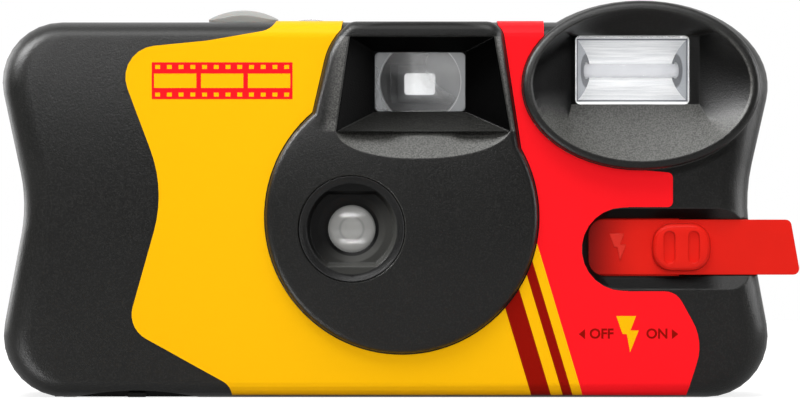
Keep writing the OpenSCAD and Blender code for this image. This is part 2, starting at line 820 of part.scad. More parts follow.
module main_frame() {
  gy0 = gate_y - gate_t;
  mouth = aperture_r + 3.2;
  color(dark)
  difference() {
    union() {
      // Film gate and its rails
      box(cas_x + chamber_r - 0.6, roll_x - roll_chamber_r + 0.8, gy0, gate_y - 0.2, film_z0 - 1, film_z1 + 1);
      box(cas_x + chamber_r - 0.6, roll_x - roll_chamber_r + 0.8, gy0, gate_y, film_z0 + 2.4, film_z0 + 3.6);
      box(cas_x + chamber_r - 0.6, roll_x - roll_chamber_r + 0.8, gy0, gate_y, film_z1 - 3.6, film_z1 - 2.4);
      // Light tunnel
      loft([at_y(plate4(lens_x, lens_z, gate_w + 2.2, gate_h + 2.2), gy0 + 0.4),
        at_y(plate4(lens_x, lens_z, 2 * mouth + 2, 2 * mouth + 2), front_wall_y + 0.4)]);
      // Front wall that carries the shutter
      box(lens_x - 16, lens_x + 11, front_wall_y, front_wall_y + front_wall_t, lens_z - 10, deck_z0 - 4);
      box(lens_x - 12, lens_x - 1.8, front_wall_y, front_wall_y + front_wall_t, deck_z0 - 5, deck_z);
      // Cassette chamber
      pin(cas_x, cas_y, wall + 0.95, disc_z, chamber_r, 72);
      // Film roll chamber
      pin(roll_x, roll_y, film_z0 - 1.6, film_z1 + 1.7, roll_chamber_r, 64);
      // Winding deck
      box(cas_x + chamber_r - 1.4, vf_x - vf_out_w / 2 + 0.6, front_wall_y, gate_y - 0.2, deck_z0, deck_z);
      // Viewfinder tunnel
      box(vf_x - vf_out_w / 2, vf_x + vf_out_w / 2, vf_y + 2.2, back_in - 0.6, vf_z - vf_out_h / 2,
        vf_z + vf_out_h / 2);
      // Feet under the gate
      box(gate_x0 - 1, gate_x0 + 6, gate_y - 6, gate_y - 0.2, wall + 0.3, film_z0 - 0.6);
      box(gate_x1 - 6, gate_x1 + 4, gate_y - 6, gate_y - 0.2, wall + 0.3, film_z0 - 0.6);
      // Battery cradle with its end plates and the board's rail
      box(cradle_x, cradle_x + 1, cell_y - cell_r, cradle_y1, wall + fit, cradle_top);
      box(roll_x + roll_chamber_r - 1, cradle_x + 0.5, roll_y - 2, roll_y + 2, film_z0, film_z1);
      box(cradle_x, cradle_x1, cell_y - cell_r - 1.2, cradle_y1, wall + fit, wall + 0.95);
      box(cradle_x, cradle_x1, cell_y - cell_r - 1.2, cradle_y1, cell_z0 + cell_h + 0.6, cradle_top);
      box(cradle_x, cradle_x1, cell_y - cell_r - 1.2, cell_y - cell_r - 0.2, wall + fit, cradle_top);
      bore(cradle_x + 3, lens_z + 9, board_y + board_t, cell_y - cell_r - 0.6, 1.2, 24);
      bore(cell_x + 3, lens_z + 9, board_y + board_t, cell_y - cell_r - 0.6, 1.2, 24);
      // Posts of the deck
      pin(dial_x, dial_y, deck_z - 0.5, dial_z - 0.2, post_r);
      pin(dial_x, dial_y, dial_z - 0.3, dial_z + dial_t + 0.3, pin_r, 24);
      pin(meter_x, meter_y, deck_z - 0.5, meter_z - 0.1, 1.9);
      pin(meter_x, meter_y, meter_z - 0.2, meter_z + meter_t + 0.2, 1.1, 24);
      // Lower bearing of the sprocket
      box(spr_x - 2.6, spr_x + 2.6, spr_y - 2.6, gy0 + 0.3, spr_z - 1.4, spr_z - 0.2);
      // Shutter pivot and the posts of the shutter plate
      bore(pivot_x, pivot_z, plate_y + plate_t - 0.6, front_wall_y + 0.3, pin_r, 24);
      bore(lens_x + 7.5, lens_z - 7, plate_y + plate_t, front_wall_y + 0.3, 0.9, 24);
      bore(lens_x + 7.5, lens_z + 7, plate_y + plate_t, front_wall_y + 0.3, 0.9, 24);
      bore(lens_x - 8.5, lens_z - 7, plate_y + plate_t, front_wall_y + 0.3, 0.9, 24);
      // Anchor of the shutter spring
      bore(pivot_x - 1.2 - 8, pivot_z - 1.6, front_wall_y - 1.6, front_wall_y + 0.3, 0.5, 16);
    }
    // Picture light path
    loft([at_y(plate4(lens_x, lens_z, gate_w, gate_h), gate_y + 0.1),
      at_y(plate4(lens_x, lens_z, 2 * mouth, 2 * mouth), front_wall_y + front_wall_t)]);
    bore(lens_x, lens_z, front_wall_y - 1, front_wall_y + front_wall_t + 1, aperture_r);
    // Hollow of the cassette chamber, open to the back and below
    pin(cas_x, cas_y, wall, cas_z1 + 0.25, cas_r + chamber_gap, 72);
    box(cas_x - chamber_r - 1, cas_x + chamber_r + 1, cas_y + 6.5, back_y, wall, cas_z1 + 0.25);
    pin(cas_x, cas_y, cas_z1 - 1, disc_z + 1, hub_r + run, 48);
    // Hollow of the roll chamber, open to the back
    pin(roll_x, roll_y, film_z0 - 0.5, film_z1 + 0.6, roll_chamber_r - 0.9, 64);
    box(roll_x - roll_chamber_r - 1, roll_x + roll_chamber_r + 1, roll_y + 6, back_y, film_z0 - 0.5,
      film_z1 + 0.6);
    pin(roll_x, roll_y, film_z0 - 3, film_z1 + 3, shaft_r + run, 32);
    // Inside of the viewfinder
    box(vf_x - vf_w / 2, vf_x + vf_w / 2, vf_y - 2, back_y, vf_z - vf_h / 2, vf_z + vf_h / 2);
    // Film path, the seat of the viewfinder's front lens and the slot of the upper contact
    box(cas_x, roll_x, film_y - 0.1, back_y, film_z0 - 0.2, film_z1 + 0.25);
    box(vf_x - vf_out_w / 2 - tub_t, vf_x + vf_out_w / 2 + tub_t, vf_y - 1, vf_y + 2.2,
      vf_z - vf_out_h / 2 - fit, vf_z + vf_out_h / 2 + fit);
    box(cell_x - 2 - fit, cell_x + 2 + fit, cell_y - cell_r - 2, cell_y - cell_r, leaf_z - fit,
      leaf_z + leaf_t + fit);
    // Clear of the flash housing and the ready light
    box(housing_x0 - housing_t - fit, housing_x1, housing_y, housing_back + housing_t + fit,
      housing_z0 - housing_t - fit, housing_z1);
    bore(ready_x, vf_z, back_in - ready_in - fit, back_y, ready_flange_r + fit, 32);
    // Clear of the back cover
    box(-half_w, half_w, back_in - 0.1, back_y + 2, 0, body_h);
    // Sprocket shaft
    pin(spr_x, spr_y, spr_z - 3, deck_z + 1, shaft_r + run, 32);
    box(spr_x - spr_pitch_r - 1.5, spr_x + spr_pitch_r + 1.5, spr_y - spr_pitch_r, film_y + 1, spr_z - 0.2,
      spr_z + spr_t + 0.4);
  }
}

function plate4(x, z, w, h) =
  [[x - w / 2, z - h / 2], [x + w / 2, z - h / 2], [x + w / 2, z + h / 2], [x - w / 2, z + h / 2]];

module cassette_door() {
  tab_w = 2.7;
  tab_back = 2;
  color(black)
  difference() {
    union() {
      box(door_x0, door_x1, door_y0, door_y1, 0.05, wall);
      // Hinge web with its bead, and the tab that is lifted to break the seal
      box(door_x0 + 2, door_x1 - 2, door_y1 - eps, hinge_y, 0.35, 0.65);
      rod(hinge_y, hinge_z, door_x0 + 2, door_x1 - 2, hinge_r, 24);
      box(cas_x - tab_w / 2, cas_x + tab_w / 2, front_y + tab_back, door_y0 + eps, 0.05, 0.75);
    }
    // Circle sunk in the inside, under the end of the cassette
    pin(cas_x, cas_y, wall - 0.5, wall + 1, 7, 48);
  }
}

// Button seen from above, grown by d
module button_shape(d, z0, z1) {
  translate([button_x, button_y, z0])
    linear_extrude(z1 - z0)
      polygon(rounded([
        [-button_w / 2 - d, -button_d / 2 - d, 3 + d, 7],
        [button_w / 2 + d, -button_d / 2 - d, 3 + d, 7],
        [button_w / 2 + d, button_d / 2 + d, 3 + d, 7],
        [-button_w / 2 - d, button_d / 2 + d, 3 + d, 7]
      ]));
}

button_dome_r = 11;
module shutter_button() {
  stem_y = button_y - 2.2;
  color(milk)
  union() {
    intersection() {
      button_shape(0, top_in - 0.3, body_h + 4);
      translate([button_x, button_y, body_h + button_rise - button_dome_r])
        sphere(r = button_dome_r, $fn = 96);
    }
    // Flange that keeps the button in, and the stem that works the release
    box(button_x - button_w / 2 - 0.9, button_x + button_w / 2 + 0.9, button_y - button_d / 2 + 0.8,
      button_y + button_d / 2 - 0.8, top_in - 0.9, top_in - 0.1);
    button_shape(-0.6, top_in - 0.5, top_in);
    pin(button_x, stem_y, meter_z + meter_t + button_travel + 0.2, top_in - 0.5, 1.2, 32);
  }
}

module counter_lens() {
  color(clear)
  union() {
    pin(counter_x, counter_y, top_in - 0.3, body_h + 0.1, counter_r, 48);
    translate([counter_x, counter_y, body_h + 0.1 - eps])
      intersection() {
        pin(0, 0, 0, 1, counter_r - 0.3, 48);
        translate([0, 0, 0.5 - 10])
          sphere(r = 10, $fn = 72);
      }
    difference() {
      pin(counter_x, counter_y, top_in - 0.7, top_in - 0.05, counter_r + 0.9, 48);
      pin(counter_x, counter_y, top_in - 1, top_in - 0.3, counter_r - 0.6, 48);
    }
  }
}

// Ribbed wheel outline with n teeth between radii a and b
function teeth(n, a, b) =
  [for (i = [0:n - 1], k = [0:3])
    let (
      t = 360 * (i + [0, 0.3, 0.5, 0.8][k]) / n,
      r = k < 2 ? b : a
    )
    [r * cos(t), r * sin(t)]];

module counter_dial() {
  color(white)
  difference() {
    union() {
      translate([dial_x, dial_y, dial_z])
        linear_extrude(dial_t)
          polygon(teeth(dial_teeth, dial_r - 0.5, dial_r));
    }
    pin(dial_x, dial_y, dial_z - 1, dial_z + dial_t + 1, pin_r + run, 24);
    // Sunk ring under the rim, to lighten the dial
    difference() {
      pin(dial_x, dial_y, dial_z - 1, dial_z + 0.6, dial_r - 1.8, 48);
      pin(dial_x, dial_y, dial_z - 2, dial_z + 1, 2.4, 32);
    }
  }
}

module thumbwheel() {
  color(black)
  difference() {
    union() {
      translate([cas_x, cas_y, wheel_z])
        linear_extrude(wheel_t)
          polygon(teeth(wheel_ribs, wheel_r - 0.5, wheel_r));
      pin(cas_x, cas_y, cas_z1 + 0.5, wheel_z + eps, hub_r, 48);
      pin(cas_x, cas_y, cas_z1 - 3.2, wheel_z, core_bore_r - 0.2, 32);
    }
    // Dish in the top and the key slot in the end of the drive
    pin(cas_x, cas_y, wheel_z + wheel_t - 0.9, wheel_z + wheel_t + 1, wheel_r - 3, 64);
    box(cas_x - 0.7, cas_x + 0.7, cas_y - 4, cas_y + 4, cas_z1 - 4, cas_z1 - 1.4);
  }
}

module film_cassette() {
  lip_x0 = cas_x + 4;
  lip_x1 = cas_x + cas_r + 2.2;
  shell = 0.35;
  color(brass)
  difference() {
    union() {
      pin(cas_x, cas_y, cas_z0 + 1, cas_z1 - 1, cas_r - 0.35, 72);
      pin(cas_x, cas_y, cas_z0, cas_z0 + 2.4, cas_r, 72);
      pin(cas_x, cas_y, cas_z1 - 2.4, cas_z1, cas_r, 72);
      // Light-trap lip
      box(lip_x0, lip_x1, film_y - 1.1, film_y + 0.9, cas_z0 + 2.4, cas_z1 - 2.4);
    }
    pin(cas_x, cas_y, cas_z0 + 0.6, cas_z1 - 0.6, cas_r - 0.35 - shell, 72);
    pin(cas_x, cas_y, cas_z0 - 1, cas_z1 + 1, spool_r - 0.4, 48);
    // Mouth that the film leaves by
    box(cas_x, lip_x1 + 1, film_y - 0.25, film_y + film_t + 0.25, film_z0 - 0.4, film_z1 + 0.4);
  }
}

module cassette_spool() {
  end_r = spool_r - 0.45;
  color(black)
  difference() {
    union() {
      pin(cas_x, cas_y, cas_z0 + 1, cas_z1 - 1, end_r, 48);
      pin(cas_x, cas_y, film_z0 + 0.2, film_z1 - 0.2, spool_r, 48);
      pin(cas_x, cas_y, film_z0 - 1.1, film_z0 + 0.2, 10.6, 64);
      pin(cas_x, cas_y, film_z1 - 0.2, film_z1 + 1.1, 10.6, 64);
      pin(cas_x, cas_y, cas_z0 - 0.1, cas_z1 + 0.12, end_r - 0.1, 48);
    }
    // Drive bores with the key web across the upper one
    difference() {
      pin(cas_x, cas_y, cas_z1 - 7, cas_z1 + 1, core_bore_r, 32);
      box(cas_x - 0.5, cas_x + 0.5, cas_y - 4, cas_y + 4, cas_z1 - 7, cas_z1 - 2);
    }
    pin(cas_x, cas_y, cas_z0 - 1, cas_z0 + 5, core_bore_r, 32);
  }
}

perf_pitch = 4.75;
perf_w = 1.98;
perf_h = 2.8;
perf_edge = 2.0;
module film_strip() {
  x0 = cas_x + cas_r - 3;
  x1 = roll_x;
  count = floor((x1 - x0 - 2) / perf_pitch);
  color(brown)
  difference() {
    box(x0, x1, film_y, film_y + film_t, film_z0, film_z1);
    for (i = [0:count], z = [film_z0 + perf_edge, film_z1 - perf_edge - perf_h])
      box(x0 + 1 + i * perf_pitch, x0 + 1 + i * perf_pitch + perf_w, film_y - 1, film_y + 1, z, z + perf_h);
  }
}

roll_core_r = 4.2;
module film_roll() {
  color(brown)
  difference() {
    pin(roll_x, roll_y, film_z0, film_z1, roll_r, 64);
    pin(roll_x, roll_y, film_z0 - 1, film_z1 + 1, roll_core_r, 48);
  }
}

module supply_spool() {
  color(black)
  difference() {
    union() {
      pin(roll_x, roll_y, film_z0 - 0.3, film_z1 + 0.3, roll_core_r - 0.03, 48);
      pin(roll_x, roll_y, film_z0 - 1.6, film_z1 + 1.6, shaft_r, 32);
    }
    // Three lightening bores
    for (a = [0:120:240])
      pin(roll_x + 2.75 * cos(a), roll_y + 2.75 * sin(a), film_z0 - 1, film_z1 + 1, 0.9, 16);
  }
}

module sprocket() {
  color(black)
  union() {
    pin(spr_x, spr_y, spr_z, spr_z + spr_t, spr_tip_r - 1.5, 40);
    translate([spr_x, spr_y, spr_z + 0.5])
      linear_extrude(spr_t - 1)
        polygon([for (i = [0:sprocket_teeth - 1], k = [0:3])
          let (
            t = 360 * (i + 0.5 + [-0.2, -0.09, 0.09, 0.2][k]) / sprocket_teeth,
            r = k == 0 || k == 3 ? spr_tip_r - 1.6 : spr_tip_r
          )
          [r * cos(t), r * sin(t)]]);
    pin(spr_x, spr_y, spr_z - 1.4, meter_z - 0.6, shaft_r, 32);
  }
}

module cam_wheel() {
  tooth_r = 1.35;
  color(white)
  difference() {
    union() {
      pin(spr_x, spr_y, meter_z - 0.5, meter_z + meter_t + 0.2, cam_r, 48);
      pin(spr_x, spr_y, deck_z + 0.3, meter_z - 0.45, shaft_r + 1.1, 32);
      // Single tooth that steps the counter
      pin(spr_x, spr_y, meter_z + meter_t, dial_z + dial_t, 0.9, 24);
      box(spr_x - 0.35, spr_x + 0.35, spr_y, spr_y + tooth_r, meter_z + meter_t, dial_z + dial_t);
    }
    pin(spr_x, spr_y, deck_z, meter_z - 0.5, shaft_r + fit / 3, 32);
    // Notch that the metering lever drops into
    box(spr_x + 2.4, spr_x + cam_r + 1, spr_y - 0.9, spr_y + 0.9, meter_z - 1, meter_z + meter_t + 1);
  }
}

// Flat arm from p to q in plan, w wide
module arm(p, q, w, z0, z1) {
  a = atan2(q.y - p.y, q.x - p.x);
  translate([p.x, p.y, z0])
    rotate([0, 0, a])
      translate([0, -w / 2, 0])
        cube([norm(q - p), w, z1 - z0]);
}

module metering_lever() {
  p = [meter_x, meter_y];
  to_cam = p + unit([spr_x, spr_y] - p) * (norm([spr_x, spr_y] - p) - cam_r - 0.35);
  to_wheel = p + unit([cas_x, cas_y] - p) * (norm([cas_x, cas_y] - p) - wheel_r - 0.35);
  to_button = [button_x + 0.2, button_y - 2.6];
  color(white)
  difference() {
    union() {
      pin(p.x, p.y, meter_z, meter_z + meter_t, 2.1, 32);
      arm(p, to_cam, 1.5, meter_z, meter_z + meter_t);
      arm(p, to_wheel, 1.5, meter_z, meter_z + meter_t);
      arm(p, to_button, 1.8, meter_z, meter_z + meter_t);
    }
    pin(p.x, p.y, meter_z - 1, meter_z + meter_t + 1, 1.1 + run, 24);
  }
}

module high_energy_lever() {
  tip_x = pivot_x - 1.3;
  color(white)
  difference() {
    union() {
      pin(dial_x, dial_y, lever_z, lever_z + lever_t, 3, 40);
      box(tip_x - 2.4, tip_x, blade_y - 0.35, dial_y, lever_z, lever_z + lever_t);
      arm([dial_x, dial_y], [dial_x + 4.6, dial_y + 5], 1.8, lever_z, lever_z + lever_t);
    }
    pin(dial_x, dial_y, lever_z - 1, lever_z + lever_t + 1, post_r + run, 32);
  }
}

module high_energy_spring() {
  color(steel)
  coil(dial_x, dial_y, lever_z + lever_t + 0.2, meter_z - 0.4, 2.2, 0.22, 4);
}

module shutter_blade() {
  color(dark)
  difference() {
    front_prism(rounded([
      [pivot_x - 2.6, pivot_z - 1.8, 0.7, 3],
      [pivot_x - 0.6, pivot_z - 3.0, 0],
      [lens_x - 3.0, lens_z + 1.4, 2.2, 5],
      [lens_x - 2.4, lens_z - 3.2, 2.2, 5],
      [lens_x + 3.2, lens_z - 3.2, 2.2, 5],
      [lens_x + 3.4, lens_z + 3.2, 2.2, 5],
      [pivot_x + 1.9, pivot_z - 1.0, 0.6, 3],
      [pivot_x + 1.0, pivot_z + 2.0, 0],
      [pivot_x + 1.0, pivot_z + tab_top, 0.4, 3],
      [pivot_x - 1.0, pivot_z + tab_top, 0.4, 3],
      [pivot_x - 1.0, pivot_z + 2.0, 0]
    ]), blade_y, blade_y + blade_t);
    bore(pivot_x, pivot_z, blade_y - 1, blade_y + 1, pin_r + run, 24);
  }
}

module shutter_spring() {
  y = front_wall_y - 1.05;
  color(steel)
  translate([pivot_x - 3.0, y, pivot_z - 1.6])
    rotate([0, -90, 0])
      coil(0, 0, 0, 5.4, 0.62, 0.13, 8, 8);
}

module shutter_plate() {
  color(black)
  difference() {
    front_prism(rounded([
      [lens_x - 10, lens_z - 8.5, 1, 3],
      [lens_x + 9, lens_z - 8.5, 1, 3],
      [lens_x + 9, lens_z + 8.5, 1, 3],
      [lens_x - 10, lens_z + 8.5, 1, 3]
    ]), plate_y, plate_y + plate_t);
    bore(lens_x, lens_z, plate_y - 1, plate_y + 2, lens_clear_r - 0.7, 48);
  }
}

// Plano-convex taking lens with a flat rim
module taking_lens() {
  dome = 0.85;
  r = (lens_clear_r * lens_clear_r + dome * dome) / (2 * dome);
  y_rim = lens_seat_y - lens_edge_t;
  color(clear)
  union() {
    bore(lens_x, lens_z, y_rim, lens_seat_y, lens_rim_r - fit, 64);
    translate([lens_x, y_rim + eps, lens_z])
      rotate([90, 0, 0])
        rotate_extrude($fn = 64)
          polygon(concat([[0, 0]],
            [for (i = [0:8])
              let (q = (lens_clear_r - 0.25) * (1 - i / 8))
              [q, sqrt(r * r - q * q) - (r - dome)]]));
  }
}

// Circle of radius r with a flat above and below, h apart
function flat_circle(x, z, r, h) =
  let (
    a = asin(h / 2 / r),
    n = 14
  )
  [for (side = [0, 1], i = [0:n])
    let (t = 180 * side - a + 2 * a * i / n)
    [x + r * cos(t), z + r * sin(t)]];

module lens_retainer() {
  step_y = retainer_y + 1.3;
  top_y = retainer_y - 1;
  draft = 0.45;
  grown = draft * (step_y - top_y);
  seat_y = lens_seat_y - lens_edge_t - 0.02;
  throat_y = seat_y - 0.75;
  color(black)
  difference() {
    translate([lens_x, 0, lens_z])
      rotate([90, 0, 0])
        rotate_extrude($fn = 96)
          polygon([
            [0, -lens_seat_y],
            [retainer_r, -lens_seat_y],
            [retainer_r, -retainer_y - 0.45 + 0.9],
            [retainer_r - 0.12, -retainer_y + 0.25],
            [retainer_r - 0.5, -retainer_y + 0.02],
            [retainer_r - 0.85, -retainer_y - 0.12],
            [0, -retainer_y - 0.12]
          ]);
    // Opening with a flat above and below
    loft([at_y(flat_circle(lens_x, lens_z, opening_w / 2, opening_h), step_y),
      at_y(flat_circle(lens_x, lens_z, opening_w / 2 + grown, opening_h + 2 * grown), top_y)]);
    // Funnel to the lens, its throat and the lens seat
    translate([lens_x, throat_y, lens_z])
      rotate([90, 0, 0])
        cylinder(r1 = lens_clear_r, r2 = opening_h / 2 - 0.1, h = throat_y - step_y + eps, $fn = 64);
    bore(lens_x, lens_z, throat_y - eps, seat_y + eps, lens_clear_r, 64);
    bore(lens_x, lens_z, seat_y, lens_seat_y + 1, lens_rim_r, 64);
  }
}

// Concave front lens of the viewfinder
module viewfinder_front_lens() {
  y0 = vf_y + 0.35;
  r = 22;
  color(clear)
  difference() {
    union() {
      front_prism(plate2(vf_x, vf_z, vf_w - 2 * fit, vf_h - 2 * fit, 0.8), y0, y0 + vf_lens_t);
      box(vf_x - vf_out_w / 2, vf_x + vf_out_w / 2, vf_y + 1.05, y0 + vf_lens_t, vf_z - vf_out_h / 2,
        vf_z + vf_out_h / 2);
    }
    translate([vf_x, y0 + 0.9 - r, vf_z])
      sphere(r = r, $fn = 96);
  }
}

module viewfinder_rear_lens() {
  r = 16;
  y0 = back_in - 2.1;
  color(clear)
  union() {
    box(vf_x - vf_w / 2 + 0.1, vf_x + vf_w / 2 - 0.1, y0, y0 + 1.3, vf_z - vf_h / 2 + 0.1,
      vf_z + vf_h / 2 - 0.1);
    intersection() {
      box(vf_x - eye_w / 2 + 0.3, vf_x + eye_w / 2 - 0.3, y0 + 1, back_in + 0.8, vf_z - eye_h / 2 + 0.3,
        vf_z + eye_h / 2 - 0.3);
      translate([vf_x, back_in + 0.8 - r, vf_z])
        sphere(r = r, $fn = 96);
    }
  }
}

// Outline of the flash window's pane, drawn in by d
function pane_outline(d) = plate2(pane_x, window_z, pane_w - 2 * d, window_h - 2 * d, 0.7, 3);

// Clear pane over the flash, with bevelled edges and a flange behind
module flash_window() {
  y0 = bowl_y + 0.2;
  y1 = bowl_y + tub_t + 0.1;
  gap = 0.15;
  bevel = 0.6;
  color(clear)
  union() {
    loft([for (s = [[y1, 0], [y0 + bevel, 0], [y0, bevel]]) at_y(pane_outline(gap + s[1]), s[0])]);
    front_prism(pane_outline(-0.5), bowl_y + tub_t + 0.05, bowl_y + tub_t + 0.3);
  }
}

// Trough reflector with its ends drawn in towards the back
function trough(h, d, steps) =
  [for (i = [0:steps])
    let (s = -1 + 2 * i / steps)
    [d * (1 - s * s), s * h / 2]];
module reflector_form(grow, y0) {
  half = reflector_l / 2 + grow;
  depth = reflector_d + grow;
  intersection() {
    translate([pane_x - half, y0, window_z])
      rotate([90, 0, 90])
        linear_extrude(2 * half)
          polygon(trough(reflector_h + 2 * grow, depth, 12));
    translate([pane_x, y0, window_z - reflector_h])
      linear_extrude(2 * reflector_h)
        polygon([[-half, 0], [half, 0], [half - reflector_slant, depth], [reflector_slant - half, depth]]);
  }
}
module flash_reflector() {
  color(steel)
  difference() {
    reflector_form(reflector_t, housing_y);
    reflector_form(0, housing_y - eps);
    rod(tube_y, window_z, pane_x - window_w, pane_x + window_w, tube_r + 0.15, 32);
  }
}

module flash_tube() {
  color(clear)
  union() {
    rod(tube_y, window_z, pane_x - reflector_l / 2 - 2, pane_x + reflector_l / 2 + 2, tube_r, 32);
    rod(tube_y, window_z, pane_x - reflector_l / 2 - 3.4, pane_x + reflector_l / 2 + 3.4, 0.4, 12);
  }
}

module flash_housing() {
  t = housing_t;
  foot_y = board_y + board_t + 0.02;
  foot_t = 1.4;
  color(white)
  difference() {
    union() {
      box(housing_x0 - t, housing_x1 + t, housing_y, housing_back + t, housing_z0 - t, housing_z1 + t);
      // Foot behind the board, on a shelf that carries on the housing's floor
      box(pane_x - 6, pane_x + 6, foot_y, foot_y + foot_t, lens_z + 13, housing_z0);
      box(pane_x - 6, pane_x + 6, housing_y + t, foot_y + foot_t, housing_z0 - t, housing_z0);
    }
    box(housing_x0, housing_x1, housing_y - 1, housing_back, housing_z0, housing_z1);
    rod(tube_y, window_z, housing_x0 - 3, housing_x1 + 3, tube_r + 0.3, 32);
  }
}

module circuit_board() {
  x0 = roll_x - 11.2;
  x1 = roll_x + 5;
  x2 = cell_x + cell_r - 0.5;
  color(green)
  difference() {
    front_prism([
      [x0, wall + 1.2],
      [x1, wall + 1.2],
      [x1, cap_z + cap_r + 1],
      [x2, cap_z + cap_r + 1],
      [x2, lens_z + 16.2],
      [x0 + 6, lens_z + 16.2],
      [x0, lens_z + 11]
    ], board_y, board_y + board_t);
    bore(cradle_x + 3, lens_z + 12.5, board_y - 1, board_y + 3, 0.8, 20);
    bore(x0 + 2, wall + 3.2, board_y - 1, board_y + 3, 0.8, 20);
  }
}

module flash_capacitor() {
  color(dark)
  difference() {
    union() {
      rod(cap_y, cap_z, cap_x0, cap_x0 + cap_l, cap_r, 48);
      rod(cap_y - 1.8, cap_z, cap_x0 - 3, cap_x0 + 1, 0.4, 12);
      rod(cap_y + 1.8, cap_z, cap_x0 - 3, cap_x0 + 1, 0.4, 12);
    }
    // Crimp near the end of the can
    difference() {
      rod(cap_y, cap_z, cap_x0 + 1.6, cap_x0 + 2.4, cap_r + 1, 48);
      rod(cap_y, cap_z, cap_x0 + 1, cap_x0 + 3, cap_r - 0.4, 48);
    }
  }
}

module transformer() {
  x0 = roll_x - 10.4;
  z0 = slot_z - flange_r - slot_block_t - 8;
  y1 = board_y - 0.02;
  color(copper)
  union() {
    box(x0, x0 + 5.4, y1 - 4.4, y1, z0, z0 + 1.2);
    box(x0, x0 + 5.4, y1 - 4.4, y1, z0 + 6.4, z0 + 7.6);
    pin(x0 + 2.7, y1 - 2.2, z0 + 1, z0 + 6.6, 2.1, 32);
  }
}

module trigger_coil() {
  y = board_y - 2.1;
  x0 = roll_x - 4.5;
  z = lens_z - 17;
  color(copper)
  union() {
    rod(y, z, x0 + 0.8, x0 + 6.2, 1.7, 32);
    rod(y, z, x0, x0 + 0.9, 2.05, 32);
    rod(y, z, x0 + 6.1, x0 + 7, 2.05, 32);
  }
}

// Pair of leaf contacts behind the slider's channel
module switch_contact() {
  y1 = board_y - 0.02;
  y0 = channel_y + 1.25;
  x = grip_x;
  color(steel)
  union() {
    box(x - 3, x + 3, y1 - 0.3, y1, slot_z - 3, slot_z + 3);
    box(x - 2.4, x - 1.2, y0, y1, slot_z - 0.5, slot_z + 0.5);
    box(x + 1.2, x + 2.4, y0, y1, slot_z - 0.5, slot_z + 0.5);
  }
}

module battery() {
  nub = 1;
  color(dark)
  union() {
    pin(cell_x, cell_y, cell_z0 + 0.2, cell_z0 + cell_h - nub, cell_r - 0.15, 64);
    pin(cell_x, cell_y, cell_z0 + 0.5, cell_z0 + cell_h - nub - 0.4, cell_r, 64);
    pin(cell_x, cell_y, cell_z0, cell_z0 + 0.4, 4.5, 40);
    pin(cell_x, cell_y, cell_z0 + cell_h - nub - eps, cell_z0 + cell_h, 2.7, 32);
  }
}

module battery_contact_top() {
  color(steel)
  union() {
    box(cell_x - 5, cell_x + 5, cell_y - 4, cradle_y1, leaf_z, leaf_z + leaf_t);
    box(cell_x - 2, cell_x + 2, cell_y - cell_r - 2.6, cell_y - 3.9, leaf_z, leaf_z + leaf_t);
  }
}

module battery_contact_base() {
  color(brass)
  union() {
    box(cell_x - 5, cradle_x1, cell_y - 4, cradle_y1, wall + 1.0, wall + 1.4);
    pin(cell_x, cell_y, wall + 1.2, cell_z0 - 0.03, 2.4, 32);
  }
}

module ready_light() {
  color(amber)
  union() {
    bore(ready_x, vf_z, back_in - ready_in, back_y + 0.15, ready_r, 32);
    bore(ready_x, vf_z, back_in - 1.2, back_in - 0.05, ready_flange_r, 32);
  }
}

// Red strip with its grip and the tongue that stands out of the side
module flash_slider() {
  end_x = side_x + tongue_out;
  y1 = strip_y + slider_t;
  groove_w = 1.7;
  groove_h = 4.9;
  color(red)
  difference() {
    union() {
      front_prism(rounded([
        [tail_x, slot_z - strip_r, 1.4, 4],
        [end_x + 0.9, slot_z - strip_r, 0.9, 4],
        [end_x - 0.6, slot_z + strip_r, 0.9, 4],
        [tail_x, slot_z + strip_r, 1.4, 4]
      ]), strip_y, y1);
      box(tail_x + 1.2, flange_x, strip_y + 0.35, y1, slot_z - flange_r, slot_z + flange_r);
      // Grip with rolled edges
      loft([for (i = [0:4])
        let (
          t = 90 * (i - 1) / 3,
          d = i == 0 ? 0 : 0.9 * (1 - cos(t)),
          y = i == 0 ? strip_y + 0.3 : front_y - 0.8 + 0.9 * (1 - sin(t))
        )
        at_y(plate2(grip_x + grip_w / 2, slot_z, grip_w - 2 * d, grip_h - 2 * d, 2.9 - d * 0.6), y)]);
    }
    for (s = [-1, 1])
      front_prism(plate2(grip_x + grip_w / 2 + s * 1.85, slot_z, groove_w, groove_h, groove_w / 2 - eps),
        front_y - 2, front_y - 0.1);
  }
}

front_cover();
rear_cover();
main_frame();
front_label();
cassette_door();
shutter_button();
counter_lens();
counter_dial();
thumbwheel();
film_cassette();
cassette_spool();
film_strip();
film_roll();
supply_spool();
sprocket();
cam_wheel();
metering_lever();
high_energy_lever();
high_energy_spring();
shutter_blade();
shutter_spring();
shutter_plate();
taking_lens();
lens_retainer();
viewfinder_front_lens();
viewfinder_rear_lens();
flash_window();
flash_reflector();
flash_tube();
flash_housing();
circuit_board();
flash_capacitor();
transformer();
trigger_coil();
switch_contact();
battery();
battery_contact_top();
battery_contact_base();
ready_light();
flash_slider();
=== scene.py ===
"""Looks of a disposable film camera with a built-in flash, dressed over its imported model.

Sizes are in millimetres and go through MM on the way to Blender's metres; only the lamps and the floor are
given in metres. X runs to the right seen from the front, the front faces -Y and Z is up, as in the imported
model.
"""

import json
import math

